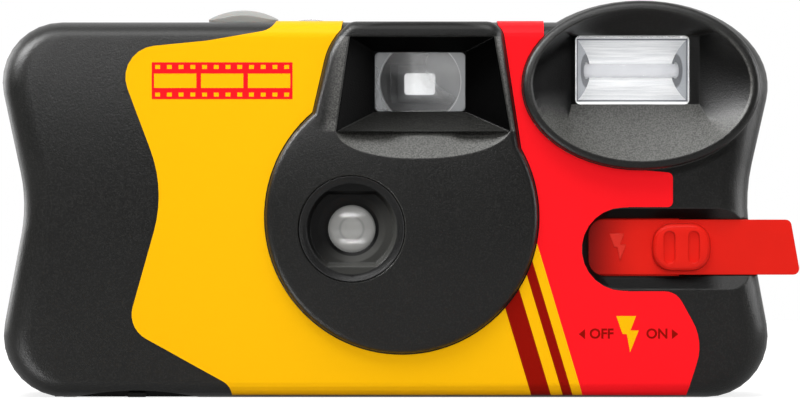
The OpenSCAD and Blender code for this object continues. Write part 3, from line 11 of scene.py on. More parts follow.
import bpy
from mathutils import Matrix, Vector


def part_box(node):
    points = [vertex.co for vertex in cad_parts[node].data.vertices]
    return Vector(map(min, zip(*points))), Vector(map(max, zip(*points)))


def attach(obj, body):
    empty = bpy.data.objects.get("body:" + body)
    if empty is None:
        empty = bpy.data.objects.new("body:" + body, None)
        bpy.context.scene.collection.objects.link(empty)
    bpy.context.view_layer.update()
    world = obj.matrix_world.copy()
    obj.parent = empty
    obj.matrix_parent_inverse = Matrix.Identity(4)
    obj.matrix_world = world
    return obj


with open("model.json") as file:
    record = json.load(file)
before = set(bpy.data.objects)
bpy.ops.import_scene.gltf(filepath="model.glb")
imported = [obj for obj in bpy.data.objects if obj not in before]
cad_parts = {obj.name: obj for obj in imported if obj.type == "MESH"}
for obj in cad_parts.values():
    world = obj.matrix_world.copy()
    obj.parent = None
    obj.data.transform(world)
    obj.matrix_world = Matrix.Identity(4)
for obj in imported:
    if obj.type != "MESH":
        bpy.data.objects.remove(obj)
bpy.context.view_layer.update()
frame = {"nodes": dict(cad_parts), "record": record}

MM = 0.001
CAMERA_BODY = "camera"


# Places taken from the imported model, in millimetres


def span(node):
    """Lowest and highest corner of a node, in millimetres."""
    low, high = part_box(node)
    return low / MM, high / MM


def middle(node):
    low, high = span(node)
    return (low + high) / 2


LABEL_FACE_Y = span("front_label")[0].y
RETAINER_FACE_Y = span("lens_retainer")[0].y
REFLECTOR_FACE_Y = span("flash_reflector")[0].y
DIAL_TOP_Z = span("counter_dial")[1].z
DIAL = middle("counter_dial")
SLIDER_Z = middle("flash_slider").z
LENS = middle("lens_retainer")
FINDER = middle("viewfinder_front_lens")
TUBE = middle("flash_tube")


# Shader fields: sums and comparisons on sockets, written as plain arithmetic


class Field:
    """A number at each point of a surface, kept as a socket of a shader tree."""

    def __init__(self, tree, socket):
        self.tree = tree
        self.socket = socket

    def math(self, operation, *others):
        made = self.tree.nodes.new("ShaderNodeMath")
        made.operation = operation
        for place, value in zip(made.inputs, (self, *others)):
            feed(self.tree, place, value)
        return Field(self.tree, made.outputs[0])

    def __add__(self, other):
        return self.math("ADD", other)

    def __sub__(self, other):
        return self.math("SUBTRACT", other)

    def __mul__(self, other):
        return self.math("MULTIPLY", other)

    def __truediv__(self, other):
        return self.math("DIVIDE", other)

    def size(self):
        return self.math("ABSOLUTE")

    def at_most(self, other):
        return self.math("MINIMUM", other)

    def at_least(self, other):
        return self.math("MAXIMUM", other)

    def beyond(self, edge, soft):
        """0 below edge and 1 above it, with a soft step between."""
        made = self.tree.nodes.new("ShaderNodeMapRange")
        made.interpolation_type = "SMOOTHSTEP"
        feed(self.tree, made.inputs["Value"], self)
        made.inputs["From Min"].default_value = edge - soft / 2
        made.inputs["From Max"].default_value = edge + soft / 2
        return Field(self.tree, made.outputs[0])

    def below(self, edge, soft):
        """1 below edge and 0 above it, with a soft step between."""
        return self.beyond(edge, soft).to(1, 0)

    def to(self, low, high):
        """The field's 0 to 1 stretched from low to high."""
        made = self.tree.nodes.new("ShaderNodeMapRange")
        feed(self.tree, made.inputs["Value"], self)
        made.inputs["To Min"].default_value = low
        made.inputs["To Max"].default_value = high
        return Field(self.tree, made.outputs[0])


def feed(tree, place, value):
    """Joins a field or sets a plain value on an input."""
    if isinstance(value, Field):
        tree.links.new(value.socket, place)
    else:
        place.default_value = value


def object_coords(tree, output):
    """One of the object's own coordinates as three fields."""
    coords = tree.nodes.new("ShaderNodeTexCoord")
    parts = tree.nodes.new("ShaderNodeSeparateXYZ")
    tree.links.new(coords.outputs[output], parts.inputs[0])
    return [Field(tree, s) for s in parts.outputs]


def place_mm(tree):
    """The point on the surface as three fields, in millimetres in the object's own frame."""
    return [field / MM for field in object_coords(tree, "Object")]


def distance(a, b):
    """Length of a vector with the fields a and b as its two parts."""
    return (a * a + b * b).math("SQRT")


def noise(tree, grain_mm, detail=2.0, roughness=0.5, stretch=(1, 1, 1)):
    """Smooth noise whose features are about grain_mm across."""
    coords = tree.nodes.new("ShaderNodeTexCoord")
    scale = tree.nodes.new("ShaderNodeMapping")
    scale.inputs["Scale"].default_value = [1 / (grain_mm * MM * s) for s in stretch]
    made = tree.nodes.new("ShaderNodeTexNoise")
    made.inputs["Scale"].default_value = 1.0
    made.inputs["Detail"].default_value = detail
    made.inputs["Roughness"].default_value = roughness
    tree.links.new(coords.outputs["Object"], scale.inputs[0])
    tree.links.new(scale.outputs[0], made.inputs["Vector"])
    return Field(tree, made.outputs[0])


def mix(tree, share, low, high):
    """Colour between low and high; either may be a colour or a socket."""
    made = tree.nodes.new("ShaderNodeMix")
    made.data_type = "RGBA"
    feed(tree, made.inputs[0], share)
    for place, value in ((made.inputs[6], low), (made.inputs[7], high)):
        if isinstance(value, bpy.types.NodeSocket):
            tree.links.new(value, place)
        else:
            place.default_value = (*value, 1)
    return made.outputs[2]


def bump(tree, shader, height, depth_mm, rounded=None):
    """Fine relief on the surface, over rounded edges where these are given."""
    made = tree.nodes.new("ShaderNodeBump")
    made.inputs["Distance"].default_value = depth_mm * MM
    tree.links.new(height.socket, made.inputs["Height"])
    if rounded:
        tree.links.new(rounded, made.inputs["Normal"])
    tree.links.new(made.outputs[0], shader.inputs["Normal"])


BEVEL_SAMPLES = 6
EDGE_TURN, EDGE_SOFT = 0.12, 0.2


def edges(tree, radius_mm):
    """The normal with edges rounded over a radius, and a field that is 1 along those edges."""
    rounded = tree.nodes.new("ShaderNodeBevel")
    rounded.samples = BEVEL_SAMPLES
    rounded.inputs["Radius"].default_value = radius_mm * MM
    flat = tree.nodes.new("ShaderNodeNewGeometry")
    turned = tree.nodes.new("ShaderNodeVectorMath")
    turned.operation = "DOT_PRODUCT"
    tree.links.new(rounded.outputs[0], turned.inputs[0])
    tree.links.new(flat.outputs["Normal"], turned.inputs[1])
    along = Field(tree, turned.outputs["Value"]).to(1, 0).beyond(EDGE_TURN, EDGE_SOFT)
    return rounded.outputs[0], along


CROWN_Z, CROWN_R = 30.0, 140.0


def crowned(tree, normal):
    """A normal leaning out towards the top and the bottom, as on a face with a slight crown."""
    _, _, z = place_mm(tree)
    lean = tree.nodes.new("ShaderNodeCombineXYZ")
    tree.links.new(((z - CROWN_Z) / CROWN_R).socket, lean.inputs["Z"])
    summed = tree.nodes.new("ShaderNodeVectorMath")
    tree.links.new(normal, summed.inputs[0])
    tree.links.new(lean.outputs[0], summed.inputs[1])
    unit = tree.nodes.new("ShaderNodeVectorMath")
    unit.operation = "NORMALIZE"
    tree.links.new(summed.outputs[0], unit.inputs[0])
    return unit.outputs[0]


def new_material(name):
    made = bpy.data.materials.new(name)
    made.use_nodes = True
    return made, made.node_tree, made.node_tree.nodes["Principled BSDF"]


def set_sockets(shader, **values):
    """Constant values on the shader's own sockets, with _ for the spaces in their names."""
    for name, value in values.items():
        shader.inputs[name.replace("_", " ")].default_value = value


def colour(hex_code):
    """Linear colour of an sRGB hex code."""
    parts = [int(hex_code[i:i + 2], 16) / 255 for i in (0, 2, 4)]
    return tuple(p / 12.92 if p <= 0.04045 else ((p + 0.055) / 1.055) ** 2.4 for p in parts)


def shade(tone, factor):
    return tuple(min(1.0, c * factor) for c in tone)


# Zones of the finishes and of the painted shade and light, in millimetres. A pair called a step holds its
# place and its width.

CRISP = 0.1
WHITE = (1, 1, 1)
FRONT_STEP = (-10.0, CRISP)
GRAIN_STEP = (0.5, 0.3)

SHELL_EDGE_MM = 0.4
SHELL_SPECULAR, DARK_SPECULAR = 0.3, 0.04
SPECK_STEP, SPECK_SHARE, SPECK_LIGHT = (0.56, 0.2), 0.8, 3.4
# Edges: a painted highlight in a paler tone, and rubbed smoother
EDGE_HIGHLIGHT_SHARE, EDGE_HIGHLIGHT_LIGHT, RUBBED_SMOOTH = 0.55, 22.0, 0.08
BLOTCH_MM, BLOTCH_ROUGH = 14, 0.05

# Painted shade: the hood's inner walls and the brow over it are painted near black
HOOD_LOW_Z, HOOD_TOP_Z = 40.5, 54.9
HOOD_LOW_X, HOOD_TOP_X = (-7.7, 19.0), (-5.6, 16.5)
HOOD_STEP = (-17.3, CRISP)
# Near black of the painted shade, also the black of the gap round the lens
SHADE_AND_GAP_BLACK = colour("020202")
FLOOR_STEP = (0.5, CRISP)
BROW_HALF, BROW_STEP, BROW_SHADE_SHARE = (11.4, 2.4), (1, 0.3), 0.62
# Painted highlight: the lips beside the hood are painted paler
LIP_FACE_STEP, LIP_STEP = (-16.9, 0.3), (0.1, 0.2)
LEFT_LIP_STEP, LEFT_LIP_SHARE = (1.5, 1.6), 0.6
RIGHT_LIP_STEP = (0.8, 0.6)
LIP_HIGHLIGHT_TONES = colour("30302f"), colour("5e5d5a")

# Painted shade on the bowl's walls, less on its roof and right side; a painted highlight along its rim
BOWL_X, BOWL_Z, BOWL_HALF = 38.8, 47.5, (16.6, 11.4)
BOWL_STEP, BOWL_FACE_STEP = (1, 0.02), (-18.0, 0.2)
BOWL_FLOOR_STEP, BOWL_ROOF_STEP = (0.25, 0.3), (-0.45, 0.4)
BOWL_ROOF_SHARE, BOWL_RIGHT_STEP, BOWL_RIGHT_SHARE = 0.2, (0, 1), 0.58
RIM_STEP, RIM_ROUND_STEP, RIM_HIGHLIGHT_SHARES = (0.01, 0.012), (0, 2), (0.1, 0.8)

# Painted light: up-facing scoops and, less, the sill are painted a paler grain
SCOOP_UP_STEP, SCOOP_LOW_STEP, SCOOP_TOP_STEP = (0.34, 0.24), (33, 1), (45, 1)
SCOOP_ROUGHER = 0.06
SCOOP_LIT_TONES = colour("2c2c2a"), colour("4c4c49")
SILL_LIT_SHARE, TURRET_STEP = 0.22, (20, 0.2)

# Painted shade in the slider's slot
SLOT_START_STEP, SLOT_END_STEP, SLOT_FACE_STEP = (29.0, CRISP), (50.0, 3.0), (-15.42, 0.05)
SLOT_HALF, SLOT_SHADE_SHARE = 7.0, 0.85
# Painted shade: the slider's tail under the slot's rim is painted darker red
TAIL_STEP, TAIL_FACE_STEP, TAIL_SHADE_TONE = (34.0, 9.0), (-14.3, CRISP), colour("6a0b07")

# Painted shade at the funnel's upper left and painted light towards its lower right
FUNNEL_R, FUNNEL_DEPTH, FUNNEL_LIT_STEP = 6.9, 0.3, (1.5, 10.0)
FUNNEL_SHADE_AND_LIGHT_TONES, FUNNEL_SPECULAR = (colour("090909"), colour("363634")), 0.14
GAP_R, GAP_STEP = 3.85, (0.28, 0.15)

LENS_TONES, LENS_MIDDLE_TONE, LENS_RING_TONE = ("727270", "7e7e7c"), "838380", "434341"
LENS_MIDDLE_STEP, LENS_MIDDLE_SHARE = (1.55, 0.6), 0.5
LENS_RING_R, LENS_RING_STEP, LENS_RING_SHARE = 1.8, (0.16, 0.3), 0.28
LENS_RIM_STEP, LENS_RIM_SHARE = (3.4, 0.4), 0.5

FINDER_R, FINDER_LINE_STEP = 6.2, (0.07, 0.06)
# Outside its rounded corners the finder lens is painted black as painted shade
FINDER_HALF, FINDER_CORNER, FINDER_CORNER_SOFT = (6.9, 4.5), 0.7, 0.12
FINDER_HAZE_X, FINDER_HAZE_Z, FINDER_HAZE_RANGE = 0.03, 0.02, (-0.05, 0.31)
FINDER_OUTER_HAZE, FINDER_LEAST_HAZE = 0.3, 0.02
ACRYLIC_IOR = 1.49

REFLECTOR_END_STEP, TUBE_SPOT_STEP = (0.3, CRISP), (2.6, 0.5)
MOUTH_Y, MOUTH_STEP = REFLECTOR_FACE_Y + 0.4, (0.3, CRISP)

YELLOW = colour("f6b807")
RED = colour("fa1922")
DARK_RED = colour("8b0d03")
PRINT_SOFT, PRINT_GLOSS, PRINT_SPECULAR = 0.06, (0.38, 0.5), 0.06
SCREEN_MM = 0.12
BAR_LEAN = 0.3
BARS = ((22.2, 3.0, DARK_RED), (27.0, 1.5, DARK_RED))
RED_START = 30.0


# Materials


def textured_plastic(name, tone, grain_mm=0.24, depth_mm=0.042, gloss=(0.28, 0.4), spread=0.2, zones=None):
    """Moulded plastic with a spark-eroded grain and faint blotches, its edges rubbed smooth and painted
    pale as a highlight.
    """
    made, tree, shader = new_material(name)
    fine = noise(tree, grain_mm, detail=3.0, roughness=0.6)
    blotch = noise(tree, BLOTCH_MM)
    rounded, worn_and_lit_edges = edges(tree, SHELL_EDGE_MM)
    body = mix(tree, blotch, shade(tone, 1 - spread), shade(tone, 1 + spread))
    body = mix(tree, fine.beyond(*SPECK_STEP) * SPECK_SHARE, body, shade(tone, SPECK_LIGHT))
    # Painted highlight: edges painted paler, where they are also rubbed smoother
    body = mix(tree, worn_and_lit_edges * EDGE_HIGHLIGHT_SHARE, body, shade(tone, EDGE_HIGHLIGHT_LIGHT))
    rough = fine.to(*gloss) + blotch.to(-BLOTCH_ROUGH, BLOTCH_ROUGH) - worn_and_lit_edges * RUBBED_SMOOTH
    set_sockets(shader, Specular_IOR_Level=SHELL_SPECULAR)
    if zones:
        body, rough, shine = zones(tree, body, rough, fine)
        tree.links.new(shine.socket, shader.inputs["Specular IOR Level"])
    tree.links.new(body, shader.inputs["Base Color"])
    tree.links.new(rough.socket, shader.inputs["Roughness"])
    bump(tree, shader, fine, depth_mm, crowned(tree, rounded))
    return made


def hood_zones(x, y, z, up, front):
    """Masks of the painted shade on the inner walls of the viewfinder's hood and the brow over it, and of
    the painted highlight on the lips beside it.
    """
    rise = (z - HOOD_LOW_Z) / (HOOD_TOP_Z - HOOD_LOW_Z)
    left = rise.to(HOOD_LOW_X[0], HOOD_TOP_X[0])
    right = rise.to(HOOD_LOW_X[1], HOOD_TOP_X[1])
    across = (x - left).beyond(0, CRISP) * (right - x).beyond(0, CRISP)
    upright = z.beyond(HOOD_LOW_Z, CRISP) * z.below(HOOD_TOP_Z, CRISP)
    shaded_walls = across * upright * y.beyond(*HOOD_STEP) * up.below(*FLOOR_STEP) * front
    brow_x = (x - FINDER.x) / BROW_HALF[0]
    brow_z = (z - HOOD_TOP_Z) / BROW_HALF[1]
    brow = (brow_x * brow_x + brow_z * brow_z).beyond(*BROW_STEP).to(BROW_SHADE_SHARE, 0)
    brow = brow * z.beyond(HOOD_TOP_Z, CRISP) * front
    lip_left = (left - x).beyond(*LIP_STEP) * (left - x).beyond(*LEFT_LIP_STEP).to(LEFT_LIP_SHARE, 0)
    lip_right = (x - right).beyond(*LIP_STEP) * (x - right).below(*RIGHT_LIP_STEP)
    lips = (lip_left + lip_right) * upright * y.below(*LIP_FACE_STEP)
    return shaded_walls, brow, lips


def bowl_zones(x, y, z, up, front):
    """Masks of the painted shade on the walls of the bowl round the flash, none on its floor and less on
    its roof and right side, and of a painted highlight along its rim, strongest at its lower right.
    """
    bowl_x = (x - BOWL_X) / BOWL_HALF[0]
    bowl_z = (z - BOWL_Z) / BOWL_HALF[1]
    far = distance(bowl_x, bowl_z)
    rim = (far - 1).size().below(*RIM_STEP) * (bowl_x - bowl_z).beyond(*RIM_ROUND_STEP).to(*RIM_HIGHLIGHT_SHARES)
    shaded_walls = far.below(*BOWL_STEP) * y.beyond(*BOWL_FACE_STEP) * front
    shaded_walls = shaded_walls * up.below(*BOWL_FLOOR_STEP) * up.beyond(*BOWL_ROOF_STEP).to(BOWL_ROOF_SHARE, 1)
    return shaded_walls * bowl_x.beyond(*BOWL_RIGHT_STEP).to(1, BOWL_RIGHT_SHARE), rim * front


def shell_zones(tree, body, rough, fine):
    """Black walls painted as shade in the hood, the bowl, the brow and the slider's slot; a paler grain
    painted as light on up-facing scoops, and as highlights on the lips and the bowl's rim.
    """
    x, y, z = place_mm(tree)
    _, _, up = object_coords(tree, "Normal")
    front = y.below(*FRONT_STEP)
    hood, brow, lips = hood_zones(x, y, z, up, front)
    bowl, rim = bowl_zones(x, y, z, up, front)
    slot = x.beyond(*SLOT_START_STEP) * x.below(*SLOT_END_STEP) * y.beyond(*SLOT_FACE_STEP)
    slot = slot * (z - SLIDER_Z).size().below(SLOT_HALF, CRISP)
    # Painted shade: the hood's walls, the bowl, the brow and the slot are painted near black, with less
    # specular
    painted_shade = hood.at_least(bowl).at_least(brow).at_least(slot * front * SLOT_SHADE_SHARE)
    off_sill = (x.beyond(*TURRET_STEP) + z.below(HOOD_LOW_Z, CRISP)).at_most(1).to(SILL_LIT_SHARE, 1)
    # Painted light: up-facing scoops painted a paler grain, the sill less so
    lit_scoop = up.beyond(*SCOOP_UP_STEP) * z.beyond(*SCOOP_LOW_STEP) * z.below(*SCOOP_TOP_STEP) * front
    lit_scoop = lit_scoop * off_sill
    grain = fine.beyond(*GRAIN_STEP)
    # Painted highlights: the lips and the bowl's rim are painted paler
    body = mix(tree, lips + rim, body, mix(tree, grain, *LIP_HIGHLIGHT_TONES))
    body = mix(tree, lit_scoop, mix(tree, painted_shade, body, SHADE_AND_GAP_BLACK), mix(tree, grain, *SCOOP_LIT_TONES))
    return body, rough + lit_scoop * SCOOP_ROUGHER, painted_shade.to(SHELL_SPECULAR, DARK_SPECULAR)


def funnel_zone(tree, body, rough, _):
    """Polished funnel round the lens with painted shade at its upper left and painted light towards its
    lower right, and a black gap next to the lens.
    """
    x, y, z = place_mm(tree)
    far = distance(x - LENS.x, z - LENS.z)
    funnel = y.beyond(RETAINER_FACE_Y + FUNNEL_DEPTH, CRISP) * far.below(FUNNEL_R, CRISP)
    lit = ((x - LENS.x) - (z - LENS.z)).beyond(*FUNNEL_LIT_STEP)
    gap = (far - GAP_R).size().below(*GAP_STEP)
    tone = mix(tree, gap, mix(tree, lit, *FUNNEL_SHADE_AND_LIGHT_TONES), SHADE_AND_GAP_BLACK)
    return mix(tree, funnel, body, tone), rough, funnel.to(SHELL_SPECULAR, FUNNEL_SPECULAR)


def smooth_plastic(name, tone, gloss=(0.25, 0.36), spread=0.08, glow=0.0, glow_mm=1.0, shine=0.5,
                   zone=None):
    """Polished moulding with a faint orange-peel and cloudy colour."""
    made, tree, shader = new_material(name)
    cloud = noise(tree, grain_mm=5.0, detail=3.0)
    peel = noise(tree, grain_mm=0.5)
    cloudy = mix(tree, cloud, shade(tone, 1 - spread), shade(tone, 1 + spread))
    if zone:
        cloudy = zone(tree, cloudy)
    tree.links.new(cloudy, shader.inputs["Base Color"])
    tree.links.new(cloud.to(*gloss).socket, shader.inputs["Roughness"])
    rounded, _ = edges(tree, radius_mm=0.25)
    bump(tree, shader, peel, depth_mm=0.004, rounded=rounded)
    set_sockets(shader, Specular_IOR_Level=shine)
    if glow:
        set_sockets(shader, Subsurface_Weight=glow, Subsurface_Radius=(1.0, 0.35, 0.25))
        set_sockets(shader, Subsurface_Scale=glow_mm * MM)
    return made


def slider_tail(tree, body):
    """Darker red painted as shade towards the tail that runs under the slot's rim."""
    x, y, _ = place_mm(tree)
    return mix(tree, x.below(*TAIL_STEP) * y.beyond(*TAIL_FACE_STEP), body, TAIL_SHADE_TONE)


def red_moulding(name, zone=None):
    return smooth_plastic(name, colour("da1e13"), gloss=(0.34, 0.44), spread=0.06, glow=0.1, shine=0.15,
                          zone=zone)


def metal(name, tone, gloss=(0.2, 0.34), brushed=(1, 1, 1), depth_mm=0.004):
    """Sheet metal with fine lines along its rolling direction and dull patches."""
    made, tree, shader = new_material(name)
    lines = noise(tree, grain_mm=0.25, detail=3.0, roughness=0.6, stretch=brushed)
    patch = noise(tree, grain_mm=4.0)
    tree.links.new(mix(tree, patch, shade(tone, 0.82), tone), shader.inputs["Base Color"])
    tree.links.new((patch.to(*gloss) + lines.to(-0.06, 0.06)).socket, shader.inputs["Roughness"])
    set_sockets(shader, Metallic=1.0)
    bump(tree, shader, lines, depth_mm)
    return made


def clear_plastic(name, tone=WHITE, haze=(0.02, 0.06)):
    """Moulded clear plastic with faint flow marks."""
    made, tree, shader = new_material(name)
    flow = noise(tree, grain_mm=3.0)
    tree.links.new(mix(tree, flow, shade(tone, 0.97), tone), shader.inputs["Base Color"])
    tree.links.new(flow.to(*haze).socket, shader.inputs["Roughness"])
    set_sockets(shader, Transmission_Weight=1.0, IOR=ACRYLIC_IOR)
    bump(tree, shader, flow, depth_mm=0.004)
    return made


def print_finish(tree, shader):
    """Dull, patchy gloss of printed film and ink."""
    tree.links.new(noise(tree, grain_mm=2.0).to(*PRINT_GLOSS).socket, shader.inputs["Roughness"])
    set_sockets(shader, Specular_IOR_Level=PRINT_SPECULAR)


def label_print():
    """Printed film: a yellow field and a red field, parted by slanted bars."""
    made, tree, shader = new_material("label_print")
    x, _, z = place_mm(tree)
    along = x + z * BAR_LEAN
    screen = noise(tree, SCREEN_MM, detail=1.0)
    tone = mix(tree, screen, shade(YELLOW, 0.985), YELLOW)
    for start, width, bar_tone in BARS:
        inside = along.beyond(start, PRINT_SOFT) * along.below(start + width, PRINT_SOFT)
        tone = mix(tree, inside, tone, bar_tone)
    red = mix(tree, screen, shade(RED, 0.97), RED)
    tone = mix(tree, along.beyond(RED_START, PRINT_SOFT), tone, red)
    tree.links.new(tone, shader.inputs["Base Color"])
    print_finish(tree, shader)
    bump(tree, shader, noise(tree, grain_mm=0.3), depth_mm=0.003)
    return made


def ink(name, tone):
    """Printed ink with a faint screen."""
    made, tree, shader = new_material(name)
    screen = noise(tree, SCREEN_MM, detail=1.0)
    tree.links.new(mix(tree, screen, shade(tone, 0.95), tone), shader.inputs["Base Color"])
    print_finish(tree, shader)
    return made


def clear_pane(name, cover, low, high):
    """Thin clear piece, seen through, with a faint cast and flow marks."""
    made, tree, shader = new_material(name)
    flow = noise(tree, grain_mm=2.0)
    tree.links.new(mix(tree, flow, colour(low), colour(high)), shader.inputs["Base Color"])
    tree.links.new(flow.to(0.03, 0.07).socket, shader.inputs["Roughness"])
    set_sockets(shader, Alpha=cover, Specular_IOR_Level=1.0)
    bump(tree, shader, flow, depth_mm=0.004)
    return made


def milky_lens():
    """Moulded acrylic lens with a grey haze under a polished face, and a faint ring round its middle."""
    made, tree, shader = new_material("milky_lens")
    x, _, z = place_mm(tree)
    far = distance(x - LENS.x, z - LENS.z)
    haze = noise(tree, grain_mm=1.4)
    milk = mix(tree, haze, colour(LENS_TONES[0]), colour(LENS_TONES[1]))
    centre = far.beyond(*LENS_MIDDLE_STEP).to(LENS_MIDDLE_SHARE, 0)
    ring = (far - LENS_RING_R).size().beyond(*LENS_RING_STEP).to(LENS_RING_SHARE, 0)
    rim = far.beyond(*LENS_RIM_STEP) * LENS_RIM_SHARE
    milk = mix(tree, centre, milk, colour(LENS_MIDDLE_TONE))
    milk = mix(tree, ring, milk, colour(LENS_RING_TONE))
    milk = mix(tree, rim, milk, colour(LENS_RING_TONE))
    tree.links.new(milk, shader.inputs["Base Color"])
    tree.links.new(haze.to(0.12, 0.16).socket, shader.inputs["Roughness"])
    set_sockets(shader, Specular_IOR_Level=0.8)
    bump(tree, shader, haze, depth_mm=0.002)
    return made


def finder_lens():
    """Clear lens of the viewfinder, hazy outside the round of its hollow, and painted black outside its
    rounded corners as painted shade of the hood.
    """
    made, tree, shader = new_material("finder_lens")
    x, _, z = place_mm(tree)
    right, above = x - FINDER.x, z - FINDER.z
    far = distance(right, above)
    flow = noise(tree, grain_mm=3.0)
    outside = far.beyond(FINDER_R, CRISP)
    line = (far - FINDER_R).size().below(*FINDER_LINE_STEP)
    over_x = (right.size() - (FINDER_HALF[0] - FINDER_CORNER)).at_least(0)
    over_z = (above.size() - (FINDER_HALF[1] - FINDER_CORNER)).at_least(0)
    inside = distance(over_x, over_z).below(FINDER_CORNER, FINDER_CORNER_SOFT)
    tone = mix(tree, flow, colour("f6f8fa"), WHITE)
    tone = mix(tree, outside, tone, colour("dcdee0"))
    tone = mix(tree, line, tone, colour("f4f5f6"))
    # Painted shade: black outside the lens's rounded corners
    tree.links.new(mix(tree, inside, SHADE_AND_GAP_BLACK, tone), shader.inputs["Base Color"])
    cloud = noise(tree, grain_mm=9.0, detail=1.0).to(*FINDER_HAZE_RANGE)
    haze = right * FINDER_HAZE_X + above * FINDER_HAZE_Z + cloud
    haze = haze + outside * FINDER_OUTER_HAZE + line * FINDER_OUTER_HAZE
    clear = haze.at_least(FINDER_LEAST_HAZE).to(1, 0) * inside
    tree.links.new(clear.socket, shader.inputs["Transmission Weight"])
    tree.links.new(flow.to(0.03, 0.08).socket, shader.inputs["Roughness"])
    set_sockets(shader, IOR=ACRYLIC_IOR)
    bump(tree, shader, flow, depth_mm=0.004)
    return made


def satin_reflector():
    """Bright reflector with drawn lines along its length, greyer on its end plates with dark spots round
    the tube, and a dark line along its mouth that stands in for the window pane's dark edge.
    """
    made, tree, shader = new_material("bright_reflector")
    _, y, z = place_mm(tree)
    lines = noise(tree, grain_mm=0.5, detail=3.0, roughness=0.6, stretch=(14, 1, 1))
    ends = object_coords(tree, "Normal")[0].size().beyond(*REFLECTOR_END_STEP)
    spots = ends * distance(y - TUBE.y, z - TUBE.z).below(*TUBE_SPOT_STEP)
    mouth = (y - MOUTH_Y).size().below(*MOUTH_STEP)
    drawn = mix(tree, lines.beyond(*GRAIN_STEP), colour("e8e9ea"), WHITE)
    drawn = mix(tree, ends, drawn, colour("a9acb1"))
    drawn = mix(tree, spots, drawn, colour("3c3f45"))
    tree.links.new(mix(tree, mouth, drawn, colour("5e6167")), shader.inputs["Base Color"])
    tree.links.new(lines.to(0.24, 0.38).socket, shader.inputs["Roughness"])
    set_sockets(shader, Metallic=0.25)
    bump(tree, shader, lines, depth_mm=0.012)
    return made


MATERIALS = {
    "black_shell": textured_plastic("black_shell", colour("0b0b0a"), zones=shell_zones),
    "black_inner": textured_plastic("black_inner", colour("141414"), grain_mm=0.5, depth_mm=0.02,
                                    gloss=(0.5, 0.65)),
    "wheel_black": textured_plastic("wheel_black", colour("181818"), grain_mm=0.4, depth_mm=0.02,
                                    gloss=(0.38, 0.5)),
    "label_print": label_print(),
    "milky_plastic": smooth_plastic("milky_plastic", colour("93938f"), gloss=(0.3, 0.42), spread=0.05,
                                    glow=0.3, glow_mm=2.0),
    "red_plastic": red_moulding("red_plastic"),
    "clear_plastic": clear_plastic("clear_plastic"),
    "white_plastic": smooth_plastic("white_plastic", colour("e6e4de")),
    "film_base": smooth_plastic("film_base", colour("4a3326"), gloss=(0.12, 0.2)),
    "cassette_metal": metal("cassette_metal", colour("b9a05a"), gloss=(0.25, 0.4), brushed=(1, 1, 8)),
    "blade_metal": metal("blade_metal", colour("3a3a3c"), gloss=(0.4, 0.5), brushed=(6, 1, 1)),
    "spring_steel": metal("spring_steel", colour("c4c4c6")),
    "bright_reflector": satin_reflector(),
    "board_green": smooth_plastic("board_green", colour("2c6b3e"), gloss=(0.3, 0.45)),
    "capacitor_sleeve": smooth_plastic("capacitor_sleeve", colour("1c1e26"), gloss=(0.2, 0.3)),
    "winding_copper": metal("winding_copper", colour("b8703f"), gloss=(0.25, 0.4), brushed=(1, 1, 0.3),
                            depth_mm=0.01),
    "cell_jacket": smooth_plastic("cell_jacket", colour("30323a"), gloss=(0.2, 0.3)),
    "amber_plastic": smooth_plastic("amber_plastic", colour("f08a24"), gloss=(0.15, 0.25), spread=0.05,
                                    glow=0.4, glow_mm=1.5),
}

# Finishes of single nodes, in place of their slot's
NODE_FINISHES = {
    "taking_lens": milky_lens(),
    "viewfinder_front_lens": finder_lens(),
    "flash_window": clear_pane("clear_pane", cover=0.05, low="dfe5ec", high="f6f8fa"),
    "flash_tube": clear_pane("tube_glass", cover=0.4, low="c8c9ce", high="dcdde0"),
    "flash_slider": red_moulding("slider_red", slider_tail),
    "lens_retainer": textured_plastic("retainer_black", colour("0b0b0b"), grain_mm=0.3, depth_mm=0.012,
                                      gloss=(0.3, 0.42), zones=funnel_zone),
}


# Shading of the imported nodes


def smoothing_group(name, degrees):
    """Modifier tree that shades smooth except over edges sharper than the angle."""
    group = bpy.data.node_groups.new(name, "GeometryNodeTree")
    group.interface.new_socket("Geometry", in_out="INPUT", socket_type="NodeSocketGeometry")
    group.interface.new_socket("Geometry", in_out="OUTPUT", socket_type="NodeSocketGeometry")
    start = group.nodes.new("NodeGroupInput")
    end = group.nodes.new("NodeGroupOutput")
    faces = group.nodes.new("GeometryNodeSetShadeSmooth")
    sharp = group.nodes.new("GeometryNodeSetShadeSmooth")
    sharp.domain = "EDGE"
    sharp.inputs["Shade Smooth"].default_value = False
    turn = group.nodes.new("GeometryNodeInputMeshEdgeAngle")
    over = group.nodes.new("FunctionNodeCompare")
    over.operation = "GREATER_THAN"
    over.inputs[1].default_value = math.radians(degrees)
    group.links.new(start.outputs[0], faces.inputs[0])
    group.links.new(faces.outputs[0], sharp.inputs[0])
    group.links.new(turn.outputs["Unsigned Angle"], over.inputs[0])
    group.links.new(over.outputs[0], sharp.inputs["Selection"])
    group.links.new(sharp.outputs[0], end.inputs[0])
    return group


WELD_MM = 0.002
SMOOTHING = smoothing_group("smooth_by_angle", degrees=26)
LENS_SMOOTHING = smoothing_group("smooth_lens", degrees=10)
LENS_NODES = ("viewfinder_front_lens", "viewfinder_rear_lens")


